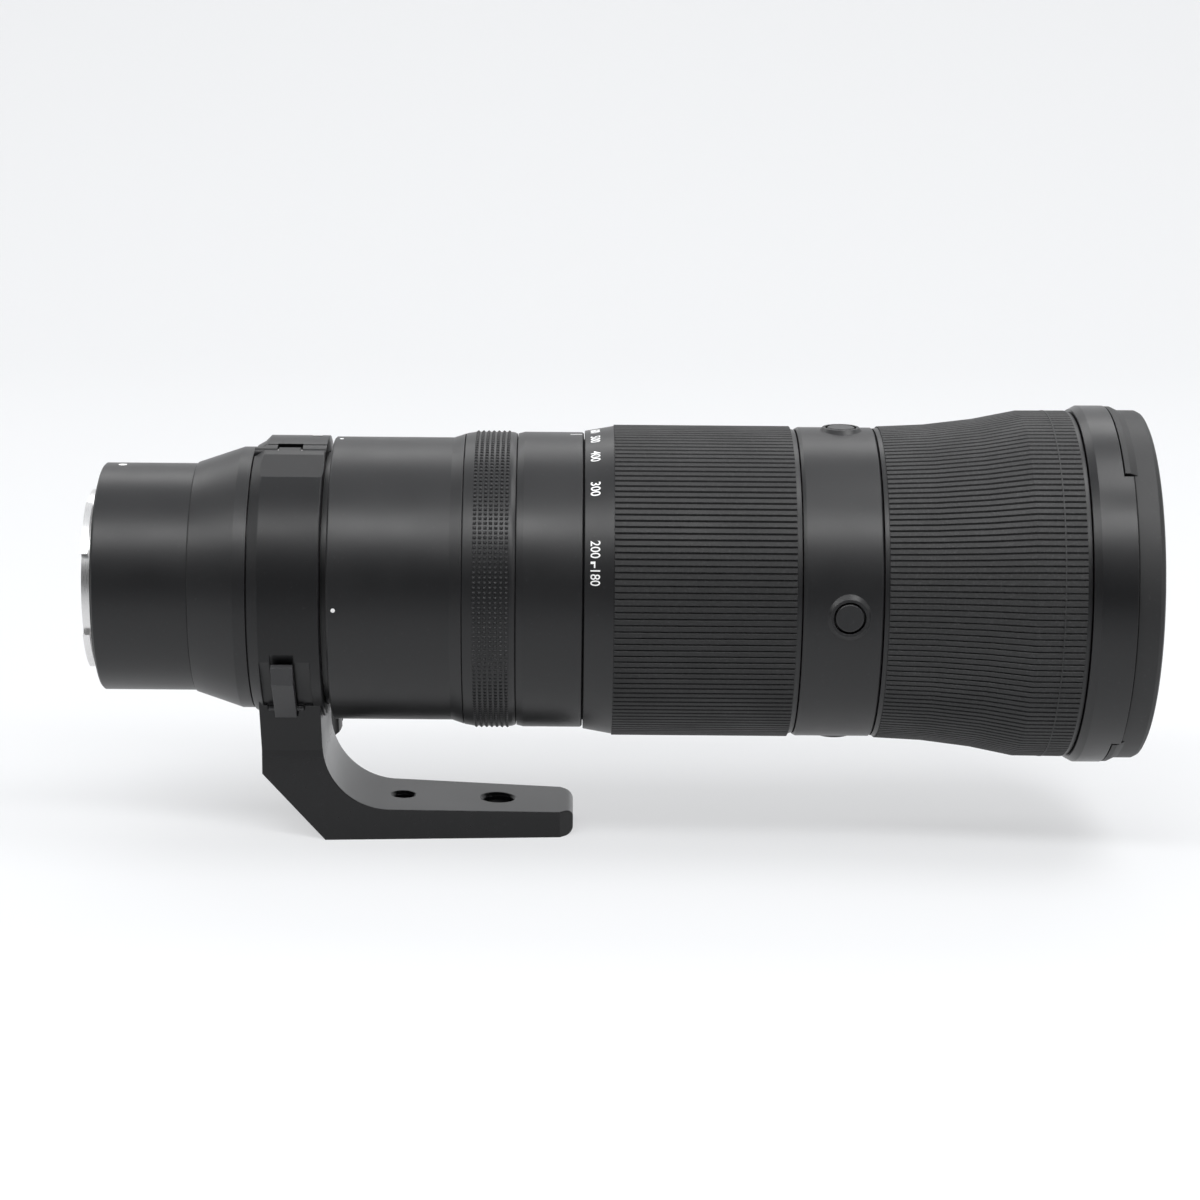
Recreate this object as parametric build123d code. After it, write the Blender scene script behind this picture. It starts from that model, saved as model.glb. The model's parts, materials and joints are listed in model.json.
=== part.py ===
from build123d import *
import math
import os

# Long telephoto zoom lens with internal zoom, a rear bayonet and a turning tripod collar.
# Units are millimetres. The origin is the centre of the bayonet flange plane, on the
# optical axis. +X points to the front of the lens, +Z is up, and the foot is at -Z.
# Angles are turned about +X from +Y towards +Z: 0 is the far side, 90 the top,
# 180 the near side and 270 the bottom.

# Shared clearances and allowances
running_gap = 0.3          # between a turning ring and what carries it
parting_gap = 0.3          # between the end faces of neighbouring rings
seat_gap = 0.05            # between pieces of one body that slip together
pin_gap = 0.06             # radial, round a pin or rod that turns or slides
cut_over = 4.0             # overrun of every cut
edge_break = 0.5           # chamfer of an outer edge

# Lengths of the outer zones, from the flange to the front
rear_barrel_length = 28.7
cone_length = 13.9
band_length = 3.8
track_length = 24.0
mid_barrel_length = 39.8
control_zone_length = 16.1
index_ring_length = 19.9
zoom_zone_length = 64.4
button_ring_length = 23.5
focus_zone_length = 60.3
front_ring_length = 12.7
rim_length = 8.4

x_cone = rear_barrel_length
x_band = x_cone + cone_length
x_track = x_band + band_length
x_mid = x_track + track_length
x_control = x_mid + mid_barrel_length
x_index = x_control + control_zone_length
x_zoom = x_index + index_ring_length
x_buttons = x_zoom + zoom_zone_length
x_focus = x_buttons + button_ring_length
x_front = x_focus + focus_zone_length
x_rim = x_front + front_ring_length
x_end = x_rim + rim_length

# Walls
shell_wall = 2.2
core_wall = 1.8
grip_thickness = 1.8

# The core barrel carries the turning rings, so its radius drives the others.
# A rise or a drop is a step out or in from the size beside it.
core_radius = 43.0
mid_barrel_rise = 0.3
flare_rise = 1.2
track_drop = 4.7
band_rise = 1.4
cone_drop = 4.7
rear_barrel_drop = 0.5
control_start_rise = 1.6
control_edge_rise = 2.0
knurl_rise = 2.1
index_rise = 2.2
number_start_rise = 2.65
number_end_rise = 4.2
grip_rise = 4.55
zoom_lip_rise = 3.9
button_ring_rise = 4.3
front_ring_rise = 11.6

core_bore = core_radius - core_wall
mid_barrel_radius = core_radius + mid_barrel_rise
flare_radius = mid_barrel_radius + flare_rise
track_radius = mid_barrel_radius - track_drop
band_radius = track_radius + band_rise
cone_start_radius = band_radius - cone_drop
rear_barrel_radius = cone_start_radius - rear_barrel_drop
control_start_radius = core_radius + control_start_rise
control_edge_radius = core_radius + control_edge_rise
knurl_radius = core_radius + knurl_rise
index_radius = core_radius + index_rise
number_start_radius = core_radius + number_start_rise
number_end_radius = core_radius + number_end_rise
grip_radius = core_radius + grip_rise
zoom_lip_radius = core_radius + zoom_lip_rise
button_ring_radius = core_radius + button_ring_rise
front_ring_radius = core_radius + front_ring_rise

# Bayonet, from the rear barrel's wall inwards
rear_wall = 2.25
seal_wall = 1.55
flange_face_width = 4.4
spigot_wall = 2.0
lug_rise = 1.8
seal_radius = rear_barrel_radius - rear_wall
flange_radius = seal_radius - seal_wall
spigot_radius = flange_radius - flange_face_width
throat_radius = spigot_radius - spigot_wall
lug_radius = spigot_radius + lug_rise
flange_thickness = 2.2
spigot_length = 3.8
lug_thickness = 2.0
lug_count = 4
lug_arc = 38
lug_first_angle = 45
seal_lip = 0.5
mount_screw_circle = (spigot_radius + flange_radius) / 2
mount_screw_head_radius = 1.7
mount_screw_head_depth = 1.2
mount_screw_radius = 1.0
mount_screw_length = 5.0
web_thickness = 3.0
web_bore_radius = spigot_radius + seat_gap

# Contact block
contact_count = 11
contact_arc = 60
contact_set_in = 1.9
contact_radius = throat_radius - contact_set_in
contact_pin_radius = 0.5
contact_pin_lift = 0.5
contact_pin_length = 5.0
contact_block_depth = 3.7
contact_block_inner = throat_radius - contact_block_depth
contact_block_arc = 72
contact_block_lift = 3.2
contact_foot_radius = web_bore_radius - running_gap

# Rear optics and electronics
nose_gap = 0.6
rear_cell_drop = 8.55
rear_cell_radius = seal_radius - rear_cell_drop
rear_cell_nose_radius = contact_block_inner - nose_gap
rear_cell_nose_lift = 1.0
rear_cell_flange_thickness = 2.2
rear_cell_length = 32.0
rear_glass_wall = 1.7
rear_glass_radius = rear_cell_nose_radius - rear_glass_wall
rear_glass_edge = 3.4
rear_glass_front_share = 3.3
rear_glass_back_share = -4.8
rear_glass_set_in = 1.6
cell_lip = 1.2
cell_seat_share = 0.67
board_thickness = 1.6
board_gap = 1.2
board_inner_radius = rear_cell_radius + board_gap
board_standoff = 2.4
chip_size = 5.0
chip_height = 1.2
chip_count = 6

# Focus drive, carried between the rear cone's web and the mid barrel's web
focus_web_set_in = 5.3
focus_web_place = x_cone + focus_web_set_in
focus_web_thickness = 2.5
focus_web_depth = 13.4
focus_web_bore = track_radius - focus_web_depth
mid_web_share = 0.442
mid_web_place = x_mid + mid_web_share * mid_barrel_length
mid_web_thickness = 2.5
mid_web_depth = 15.5
mid_web_bore = core_radius - mid_web_depth
guide_rod_radius = 1.5
guide_rod_depth = 8.0
guide_rod_circle = track_radius - guide_rod_depth
guide_rod_angles = (30, 150)
motor_radius = 4.6
motor_length = 14.0
motor_depth = 9.2
motor_circle = track_radius - motor_depth
drive_rod_radius = 1.5
focus_travel = 12.0
focus_cell_set_in = 13.6
focus_cell_place = x_track + focus_cell_set_in
focus_cell_length = 9.0
focus_cell_drop = 4.2
focus_cell_radius = track_radius - focus_cell_drop
focus_glass_drop = 11.4
focus_glass_radius = focus_cell_radius - focus_glass_drop

# Vibration reduction
vr_travel = 1.0
vr_yoke_length = 4.0
vr_yoke_drop = 6.2
vr_yoke_radius = core_radius - vr_yoke_drop
vr_yoke_bore = mid_web_bore
vr_cell_length = 9.0
vr_cell_drop = 9.0
vr_cell_radius = core_radius - vr_cell_drop
vr_glass_drop = 10.0
vr_glass_radius = vr_cell_radius - vr_glass_drop

# Guide tube and cam tube
cam_room = 2.5
guide_radius = core_bore - cam_room
guide_wall = 1.6
guide_flange = 3.0
guide_reach = 6.9
cam_bore_gap = 0.3
cam_wall = 1.7
cam_start_gap = 0.5
zoom_turn = 70
follower_radius = 2.4
follower_play = 0.3
follower_count = 3
variator_length = 15.0
variator_first_angle = 90
variator_glass_drop = 12.1
compensator_length = 11.0
compensator_first_angle = 30
compensator_glass_drop = 13.1
key_width = 6.0
key_length = 9.0
key_depth = 1.4

# Iris
iris_set_in = 0.8
iris_place = x_control + iris_set_in
iris_length = 13.2
iris_plate = 1.5
iris_depth = 14.1
iris_bore = guide_radius - iris_depth
iris_pivot_depth = 3.3
iris_pivot_circle = guide_radius - iris_pivot_depth
iris_pin_radius = 0.9
blade_count = 9
blade_thickness = 0.3
blade_pitch = 0.6
blade_first_gap = 0.6
blade_inner_radius = iris_bore
blade_width = 6.8
blade_outer_radius = blade_inner_radius + blade_width
blade_arc = 104
blade_ear_radius = 1.9
blade_pin_drop = 2.8
blade_pin_circle = iris_pivot_circle - blade_pin_drop
blade_pin_angle = 11
blade_turn = 34
iris_ring_turn = 26
iris_ring_thickness = 2.0
iris_slot_play = 0.35

# Places and travels of the zoom groups, as shares of the guide tube
guide_start = iris_place + iris_length
guide_end = x_focus + guide_reach
guide_length = guide_end - guide_start
variator_place_share = 0.589
variator_travel_share = 0.2568
compensator_place_share = 0.2637
compensator_travel_share = 0.10273
key_place_share = 0.463
variator_place = guide_start + variator_place_share * guide_length
variator_travel = variator_travel_share * guide_length
compensator_place = guide_start + compensator_place_share * guide_length
compensator_travel = compensator_travel_share * guide_length
key_place = x_zoom + key_place_share * zoom_zone_length

# Zoom ring and focus ring grips
zoom_rib_count = 152
focus_rib_count = 168
rib_depth = 0.55
rib_land_share = 0.62
number_band_length = 8.8
zoom_lip_length = 1.6
focus_lip_length = 1.4
focus_start_rise = 0.4
focus_end_drop = 1.6
focus_start_radius = button_ring_radius + focus_start_rise
focus_end_radius = front_ring_radius - focus_end_drop
flare_start_share = 0.511
flare_end_share = 0.743
focus_profile = (
    # share of the ribbed length, share of the way from the first radius to the last
    (0.0, 0.0),
    (0.249, 0.132),
    (flare_start_share, 0.481),
    (flare_end_share, 0.981),
    (1.0, 1.0),
)

# Control ring
knurl_length = 11.2
control_shoulder = 2.9

# Function buttons
button_angles = (180, 90, 0, 270)
button_place_share = 0.575
button_radius = 4.2
button_gap = 0.6
button_travel = 0.6
button_flange = 1.0
button_flange_height = 0.8
bezel_rise = 0.8
bezel_top = button_ring_radius + bezel_rise
button_rise = 0.1
button_top = bezel_top + button_rise
bezel_top_radius = 5.6
bezel_foot_radius = 7.2
bezel_foot_depth = 1.6

# Switch panel on the far side
panel_set_in = 7.6
panel_start = x_mid + panel_set_in
panel_length = 26.0
panel_half_height = 14.0
panel_rise = 1.9
panel_top = mid_barrel_radius + panel_rise
switch_size = 5.5
switch_rise = 1.3
switch_top = panel_top + switch_rise
switch_travel = 3.0
switch_set_in = 7.0
switch_places = (panel_start + switch_set_in, panel_start + panel_length - switch_set_in)
switch_edge = 0.6

# Front optics and rings
front_bevel = 2.2
front_bevel_depth = 1.2
front_bevel_radius = front_ring_radius - front_bevel_depth
front_wall = 2.4
core_front_depth = 6.7
core_front_radius = front_ring_radius - core_front_depth
rim_drop = 1.35
rim_radius = front_ring_radius - rim_drop
rim_edge = 1.6
rim_groove_width = 0.5
rim_groove_depth = 1.0
rim_wall = 5.75
filter_thread_radius = rim_radius - rim_wall
filter_thread_length = 5.0
baffle_step = 0.8
baffle_radius = filter_thread_radius - baffle_step
hood_zone_arc = 81
hood_zone_length = 2.3
hood_zone_depth = 2.0
hood_rear_gap = 0.5
hood_end_gap = 1.4
hood_lug_drop = 0.2
hood_lug_radius = front_ring_radius - hood_lug_drop
hood_slope_set_back = 0.8
hood_slope_length = 2.4
front_glass_drop = 3.3
front_glass_radius = core_front_radius - front_glass_drop
front_glass_front_share = 4.0
front_glass_back_share = 14.0
front_glass_set_in = 10.1
front_glass_edge_x = x_rim - front_glass_set_in
front_glass_edge = 6.5
front_cell_wall = 1.2
front_cell_lip = 2.4
front_cell_lip_depth = 4.0

# Tripod collar
collar_rear_gap = 0.5
collar_front_gap = 1.9
collar_start = x_track + collar_rear_gap
collar_width = track_length - collar_rear_gap - collar_front_gap
collar_wall = 3.5
collar_bore = track_radius + running_gap
collar_radius = collar_bore + collar_wall
collar_bevel_length = 3.2
collar_bevel_depth = 1.8
hinge_angle = 100
knuckle_radius = 1.75
hinge_circle = collar_radius - knuckle_radius
hinge_pin_radius = 1.1
hinge_relief = 0.8
hinge_notch = 1.9
hinge_side_gap = 0.5
hinge_groove = 0.5
hinge_groove_angle = 96.5
tongue_width = 6.6
tongue_place_share = 0.49
facet_angle = 114.5
facet_depth = 0.4
facet_distance = collar_radius - facet_depth
facet_width = 12.0
index_block_rise = 1.25
index_block_radius = collar_radius + index_block_rise
index_block_crown = 30.0
index_block_angle = 77
index_block_set_in = 2.4
index_block_bevel = 1.5
clamp_angle = -66.6
clamp_reach = 2.5
clamp_seat = hinge_circle * 2 + clamp_reach
clamp_ear_thickness = 4.0
clamp_ear_set_in = 2.8
clamp_ear_width = collar_width - clamp_ear_set_in * 2
clamp_ear_reach = 7.0
clamp_shoulder_reach = 13.0
clamp_block_reach = 10.0
clamp_block_depth = 10.0
clamp_split = 6.0
clamp_screw_radius = 2.9
clamp_screw_play = 0.4
clamp_screw_depth = 5.0
knob_boss_radius = 5.0
knob_boss_length = 4.0
knob_radius = 12.0
knob_length = 13.0
knob_lobes = 12
knob_lobe_radius = 1.6
knob_lobe_set_out = 0.7
knob_edge = 0.8

# Foot
foot_set_in = 1.8
foot_rear = collar_start + foot_set_in
foot_drop = 36.2
foot_bottom = -(collar_radius + foot_drop)
foot_diagonal = 21.0
foot_diagonal_top = foot_bottom + foot_diagonal
heel_set_in = 0.7
foot_heel = collar_start + collar_width - heel_set_in
foot_length = 76.0
foot_toe = foot_heel + foot_length
heel_thickness = 10.0
toe_thickness = 8.0
heel_half_width = 18.0
toe_half_width = 13.5
neck_front_step = 0.6
neck_front = foot_heel - neck_front_step
neck_fillet = 21.0
neck_angle = 48
neck_set_in = 2.0
neck_straight = 28.6
neck_top = -(collar_radius - neck_set_in) * math.sin(math.radians(neck_angle))
neck_flare_half_width = (collar_radius - neck_set_in) * math.cos(math.radians(neck_angle))
neck_straight_top = foot_bottom + neck_straight
toe_corner = 4.0
toe_end_round = 2.5
small_socket_set_out = 23.2
small_socket_place = foot_heel + small_socket_set_out
small_socket_radius = 3.175
large_socket_set_out = 52.7
large_socket_place = foot_heel + large_socket_set_out
large_socket_radius = 4.7625
socket_chamfer = 0.9

# Latch lever
latch_angle = 220
latch_set_in = 6.8
latch_start = collar_start + latch_set_in
latch_width = 6.5
pocket_set_in = 3.3
pocket_start = collar_start + pocket_set_in
pocket_width = collar_width - pocket_set_in * 2
pocket_depth = 1.7
pocket_floor = collar_radius - pocket_depth
pocket_top = 15.0
pocket_bottom = 9.5
latch_top = 11.2
latch_pad_drop = 0.1
latch_pad_rise = 2.9
latch_pad_low = collar_radius - latch_pad_drop
latch_pad_high = collar_radius + latch_pad_rise
latch_pad_length = 4.6
latch_face_rise = 2.0
latch_face = collar_radius + latch_face_rise
latch_foot = 13.0
latch_foot_rise = 1.6
latch_foot_face = collar_radius + latch_foot_rise
latch_pivot_drop = 10.4
latch_pivot_depth = 0.9
latch_pivot_height = collar_radius - latch_pivot_depth
latch_trunnion_radius = 0.9
latch_trunnion_length = 2.0

os.makedirs("parts", exist_ok=True)


def write(name, shape):
    """Write one named piece."""
    export_step(shape, f"parts/{name}.step")


def disc(start, end, radius, centre_y=0.0, centre_z=0.0):
    """A cylinder along X between two places."""
    place = Pos(start, centre_y, centre_z) * Rot(Y=90)
    return place * Cylinder(radius, end - start, align=(Align.CENTER, Align.CENTER, Align.MIN))


def tube(start, end, outer, inner):
    """A plain ring along X."""
    return disc(start, end, outer) - disc(start - cut_over, end + cut_over, inner)


def turned(points):
    """A solid turned about X from a closed outline of (place, radius) points."""
    return revolve(make_face(Polyline(*points, close=True)), Axis.X)


def arc_block(points, first_angle, arc):
    """An outline of (place, radius) points turned through part of a circle about X."""
    face = make_face(Polyline(*points, close=True)).rotate(Axis.X, first_angle)
    return revolve(face, Axis.X, revolution_arc=arc)


def arc_ring(start, end, outer, inner, first_angle, arc):
    """A piece of a plain ring."""
    corners = ((start, inner), (start, outer), (end, outer), (end, inner))
    return arc_block(corners, first_angle, arc)


def around(angle, shape):
    """Turn a shape about X."""
    return Rot(X=angle) * shape


def on_circle(radius, angle):
    """The Y and Z of a point on a circle about X."""
    return radius * math.cos(math.radians(angle)), radius * math.sin(math.radians(angle))


def post(place, angle, low, high, radius):
    """A cylinder that stands radially, between two distances from the axis."""
    up = Pos(place, low, 0) * Rot(X=-90)
    solid = up * Cylinder(radius, high - low, align=(Align.CENTER, Align.CENTER, Align.MIN))
    return around(angle, solid)


def lens(rear_edge, front_edge, radius, rear_curve, front_curve):
    """A glass element. A positive curve bulges outwards, a negative one is hollow."""
    rear_sag = abs(rear_curve) - math.sqrt(rear_curve ** 2 - radius ** 2)
    front_sag = abs(front_curve) - math.sqrt(front_curve ** 2 - radius ** 2)
    rear_pole = rear_edge - math.copysign(rear_sag, rear_curve)
    front_pole = front_edge + math.copysign(front_sag, front_curve)
    half = radius * math.sin(math.radians(45))
    rear_half = abs(rear_curve) - math.sqrt(rear_curve ** 2 - half ** 2)
    front_half = abs(front_curve) - math.sqrt(front_curve ** 2 - half ** 2)
    rear_mid = rear_pole + math.copysign(rear_half, rear_curve)
    front_mid = front_pole - math.copysign(front_half, front_curve)
    outline = (
        Line((rear_pole, 0), (front_pole, 0))
        + ThreePointArc((front_pole, 0), (front_mid, half), (front_edge, radius))
        + Line((front_edge, radius), (rear_edge, radius))
        + ThreePointArc((rear_edge, radius), (rear_mid, half), (rear_pole, 0))
    )
    return revolve(make_face(outline), Axis.X)


def rise(curve, radius, lip):
    """How far a bulging face stands above its edge, at the lip that holds it."""
    inner = radius - lip
    sag = math.sqrt(curve ** 2 - inner ** 2) - math.sqrt(curve ** 2 - radius ** 2)
    return sag if curve > 0 else 0


def cell(start, end, outer, glass_radius):
    """A lens cell: a ring whose bore takes the glass against a lip at the front."""
    seat = start + cell_seat_share * (end - start)
    ring = tube(start, end, outer, glass_radius - cell_lip)
    return ring - disc(start - cut_over, seat, glass_radius + seat_gap)


def cell_lens(start, end, glass_radius, rear_share, front_share):
    """The glass of a cell. Its curves are shares of its radius."""
    front_curve = front_share * glass_radius
    seat = start + cell_seat_share * (end - start)
    front_edge = seat - rise(front_curve, glass_radius, cell_lip) - seat_gap
    return lens(start + seat_gap, front_edge, glass_radius, rear_share * glass_radius, front_curve)


# Rear barrel and bayonet

def make_rear_barrel():
    x_web = flange_thickness
    bore = seal_radius + seat_gap
    outline = (
        (edge_break, rear_barrel_radius),
        (rear_barrel_length, rear_barrel_radius),
        (rear_barrel_length, bore),
        (x_web + web_thickness, bore),
        (x_web + web_thickness, web_bore_radius),
        (x_web, web_bore_radius),
        (x_web, bore),
        (0, bore),
        (0, rear_barrel_radius - edge_break),
    )
    barrel = turned(outline)
    y, z = 0, mount_screw_circle
    hole = disc(x_web - cut_over, x_web + web_thickness + cut_over,
                mount_screw_radius + seat_gap, y, z)
    for i in range(lug_count):
        barrel -= around(i * 360 / lug_count, hole)
    return barrel


def make_bayonet():
    body = turned((
        (-spigot_length, throat_radius),
        (-spigot_length, spigot_radius),
        (0, spigot_radius),
        (0, flange_radius),
        (flange_thickness, flange_radius),
        (flange_thickness, throat_radius),
    ))
    for i in range(lug_count):
        start = lug_first_angle + i * 360 / lug_count - lug_arc / 2
        body += arc_ring(-spigot_length, lug_thickness - spigot_length,
                         lug_radius, spigot_radius - edge_break, start, lug_arc)
    for i in range(lug_count):
        body -= around(i * 360 / lug_count, mount_screw(seat_gap))
    return body


def mount_screw(growth):
    """A countersunk screw at the top of the screw circle, or its hole when grown."""
    z = mount_screw_circle
    head = mount_screw_head_radius + growth
    shank = mount_screw_radius + growth
    outline = (
        (0, 0),
        (0, head),
        (mount_screw_head_depth, shank),
        (mount_screw_length, shank),
        (mount_screw_length, 0),
    )
    return Pos(0, 0, z) * turned(outline)


def make_mount_screws():
    return Compound([around(i * 360 / lug_count, mount_screw(0)) for i in range(lug_count)])


def make_seal():
    return tube(-seal_lip, flange_thickness, seal_radius, flange_radius + seat_gap)


def make_contact_block():
    first = 270 - contact_block_arc / 2
    outline = (
        (-contact_block_lift, contact_block_inner),
        (-contact_block_lift, throat_radius - seat_gap),
        (flange_thickness, throat_radius - seat_gap),
        (flange_thickness, contact_foot_radius),
        (flange_thickness + web_thickness, contact_foot_radius),
        (flange_thickness + web_thickness, contact_block_inner),
    )
    block = arc_block(outline, first, contact_block_arc)
    start = -contact_block_lift - contact_pin_lift
    for angle in contact_angles():
        y, z = on_circle(contact_radius, angle)
        block -= disc(start, start + contact_pin_length, contact_pin_radius, y, z)
    return block


def contact_angles():
    step = contact_arc / (contact_count - 1)
    return [270 - contact_arc / 2 + i * step for i in range(contact_count)]


def make_contact_pins():
    start = -contact_block_lift - contact_pin_lift
    pins = []
    for angle in contact_angles():
        y, z = on_circle(contact_radius, angle)
        pins.append(disc(start, start + contact_pin_length, contact_pin_radius, y, z))
    return Compound(pins)


x_rear_seat = flange_thickness + web_thickness


def make_rear_cell():
    flange_end = x_rear_seat + rear_cell_flange_thickness
    x_glass = rear_glass_set_in - rear_cell_nose_lift
    glass_bore = rear_glass_radius + seat_gap
    return turned((
        (-rear_cell_nose_lift, rear_cell_nose_radius),
        (x_rear_seat, rear_cell_nose_radius),
        (x_rear_seat, seal_radius),
        (flange_end, seal_radius),
        (flange_end, rear_cell_radius),
        (rear_cell_length, rear_cell_radius),
        (rear_cell_length, rear_cell_radius - shell_wall),
        (flange_end, rear_cell_radius - shell_wall),
        (x_glass + rear_glass_edge, glass_bore),
        (x_glass, glass_bore),
        (x_glass, glass_bore - cell_lip),
        (-rear_cell_nose_lift, glass_bore),
    ))


def make_rear_element():
    x_glass = rear_glass_set_in - rear_cell_nose_lift + seat_gap
    return lens(x_glass, x_glass + rear_glass_edge, rear_glass_radius,
                rear_glass_back_share * rear_glass_radius,
                rear_glass_front_share * rear_glass_radius)


def make_main_board():
    start = x_rear_seat + rear_cell_flange_thickness + board_standoff
    end = start + board_thickness
    board = tube(start, end, seal_radius, board_inner_radius)
    middle = (seal_radius + board_inner_radius) / 2
    for i in range(chip_count):
        y, z = 0, middle
        chip = Pos(end + chip_height / 2, y, z) * Box(chip_height, chip_size, chip_size)
        board += around(i * 360 / chip_count, chip)
    for i in range(chip_count):
        y, z = on_circle(middle, (i + 0.5) * 360 / chip_count)
        board += disc(start - board_standoff, start, mount_screw_head_radius, y, z)
    return board


# Rear cone with the collar's bearing track, and the mid barrel

cone_bore = seal_radius - shell_wall
track_bore = track_radius - shell_wall
mid_bore = mid_barrel_radius - shell_wall - seat_gap * 2
spigot_depth = 4.5


def rod_places(circle):
    return [on_circle(circle, angle) for angle in guide_rod_angles]


def cone_radius_at(place):
    """The outside radius of the cone."""
    share = (place - x_cone) / cone_length
    return cone_start_radius + share * (band_radius - cone_start_radius)


def make_rear_cone():
    spigot = rear_barrel_length - spigot_depth
    web_end = focus_web_place + focus_web_thickness
    widening = x_cone + shell_wall
    cone = turned((
        (spigot, seal_radius),
        (x_cone, seal_radius),
        (x_cone, cone_start_radius),
        (x_band, band_radius),
        (x_track, band_radius),
        (x_track, track_radius),
        (x_mid, track_radius),
        (x_mid, mid_bore - seat_gap),
        (x_mid + spigot_depth, mid_bore - seat_gap),
        (x_mid + spigot_depth, track_bore),
        (x_track, track_bore),
        (web_end, cone_radius_at(web_end) - shell_wall),
        (web_end, focus_web_bore),
        (focus_web_place, focus_web_bore),
        (focus_web_place, cone_radius_at(focus_web_place) - shell_wall),
        (widening, cone_radius_at(widening) - shell_wall),
        (widening, cone_bore),
        (spigot, cone_bore),
    ))
    for y, z in rod_places(guide_rod_circle):
        cone -= disc(focus_web_place - cut_over, web_end + cut_over,
                     guide_rod_radius + seat_gap, y, z)
    return cone


def make_mid_barrel():
    flare = x_control - (flare_radius - mid_barrel_radius) * 3
    web_end = mid_web_place + mid_web_thickness
    barrel = turned((
        (x_mid, mid_bore),
        (x_mid, mid_barrel_radius - edge_break),
        (x_mid + edge_break, mid_barrel_radius),
        (flare, mid_barrel_radius),
        (x_control, flare_radius),
        (x_control, mid_bore),
        (web_end, mid_bore),
        (web_end, mid_web_bore),
        (mid_web_place, mid_web_bore),
        (mid_web_place, mid_bore),
    ))
    for y, z in rod_places(guide_rod_circle):
        barrel -= disc(mid_web_place - cut_over, web_end + cut_over,
                       guide_rod_radius + seat_gap, y, z)
    y, z = on_circle(motor_circle, 270)
    barrel -= disc(mid_web_place - cut_over, web_end + cut_over,
                   drive_rod_radius + seat_gap, y, z)
    return barrel


def make_guide_rods():
    end = mid_web_place + mid_web_thickness
    return Compound([disc(focus_web_place, end, guide_rod_radius, y, z)
                     for y, z in rod_places(guide_rod_circle)])


def make_focus_motor():
    start = focus_web_place + focus_web_thickness
    y, z = on_circle(motor_circle, 270)
    return disc(start, start + motor_length, motor_radius, y, z)


def make_drive_rod():
    start = focus_web_place + focus_web_thickness + motor_length
    y, z = on_circle(motor_circle, 270)
    return disc(start, mid_web_place + mid_web_thickness, drive_rod_radius, y, z)


def make_focus_cell():
    start = focus_cell_place
    end = start + focus_cell_length
    ring = cell(start, end, focus_cell_radius, focus_glass_radius)
    for y, z in rod_places(guide_rod_circle):
        ring -= disc(start - cut_over, end + cut_over, guide_rod_radius + pin_gap, y, z)
    y, z = on_circle(motor_circle, 270)
    return ring - disc(start - cut_over, end + cut_over, drive_rod_radius + pin_gap, y, z)


def make_focus_lens():
    return cell_lens(focus_cell_place, focus_cell_place + focus_cell_length,
                     focus_glass_radius, -4, 6)


# Vibration reduction

x_vr = mid_web_place + mid_web_thickness + parting_gap
x_vr_cell = x_vr + vr_yoke_length + parting_gap


def make_vr_yoke():
    return tube(x_vr, x_vr + vr_yoke_length, vr_yoke_radius, vr_yoke_bore)


def make_vr_cell():
    return cell(x_vr_cell, x_vr_cell + vr_cell_length, vr_cell_radius, vr_glass_radius)


def make_vr_lens():
    return cell_lens(x_vr_cell, x_vr_cell + vr_cell_length, vr_glass_radius, 3, 5)


# Iris

x_blades = iris_place + iris_plate + blade_first_gap
x_iris_ring = x_blades + blade_count * blade_pitch + blade_first_gap
iris_wall_inner = guide_radius


def blade_angles():
    return [i * 360 / blade_count for i in range(blade_count)]


def make_iris_housing():
    end = guide_start
    housing = turned((
        (iris_place, iris_bore),
        (iris_place, core_bore - seat_gap),
        (end, core_bore - seat_gap),
        (end, iris_wall_inner),
        (iris_place + iris_plate, iris_wall_inner),
        (iris_place + iris_plate, iris_bore),
    ))
    for angle in blade_angles():
        y, z = on_circle(iris_pivot_circle, angle)
        housing -= disc(iris_place - cut_over, iris_place + iris_plate + cut_over,
                        iris_pin_radius + pin_gap, y, z)
    return housing


def blade_level(index):
    return x_blades + index * blade_pitch


def make_blade(index):
    """A sickle-shaped leaf with a pivot pin at the back and a drive pin at the front."""
    level = blade_level(index)
    end = level + blade_thickness
    pivot = on_circle(iris_pivot_circle, 0)
    drive = on_circle(blade_pin_circle, blade_pin_angle)
    leaf = arc_ring(level, end, blade_outer_radius, blade_inner_radius, 0, blade_arc)
    root = on_circle(blade_outer_radius - blade_ear_radius, blade_pin_angle)
    tip_round = (blade_outer_radius - blade_inner_radius) / 2
    tip = on_circle(blade_inner_radius + tip_round, blade_arc)
    leaf += disc(level, end, tip_round, *tip)
    for a, b in ((pivot, drive), (drive, root), (pivot, root)):
        leaf += link(level, end, a, b, blade_ear_radius)
    leaf += disc(iris_place, level, iris_pin_radius, *pivot)
    leaf += disc(end, x_iris_ring + iris_ring_thickness, iris_pin_radius, *drive)
    return around(blade_angles()[index], leaf)


def link(start, end, a, b, radius):
    """A plate with round ends between two points, square to X."""
    length = math.hypot(b[0] - a[0], b[1] - a[1])
    angle = math.degrees(math.atan2(b[1] - a[1], b[0] - a[0]))
    bar = Box(end - start, length, radius * 2)
    middle = Pos((start + end) / 2, (a[0] + b[0]) / 2, (a[1] + b[1]) / 2)
    return middle * Rot(X=angle) * bar + disc(start, end, radius, *a) + disc(start, end, radius, *b)


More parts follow.
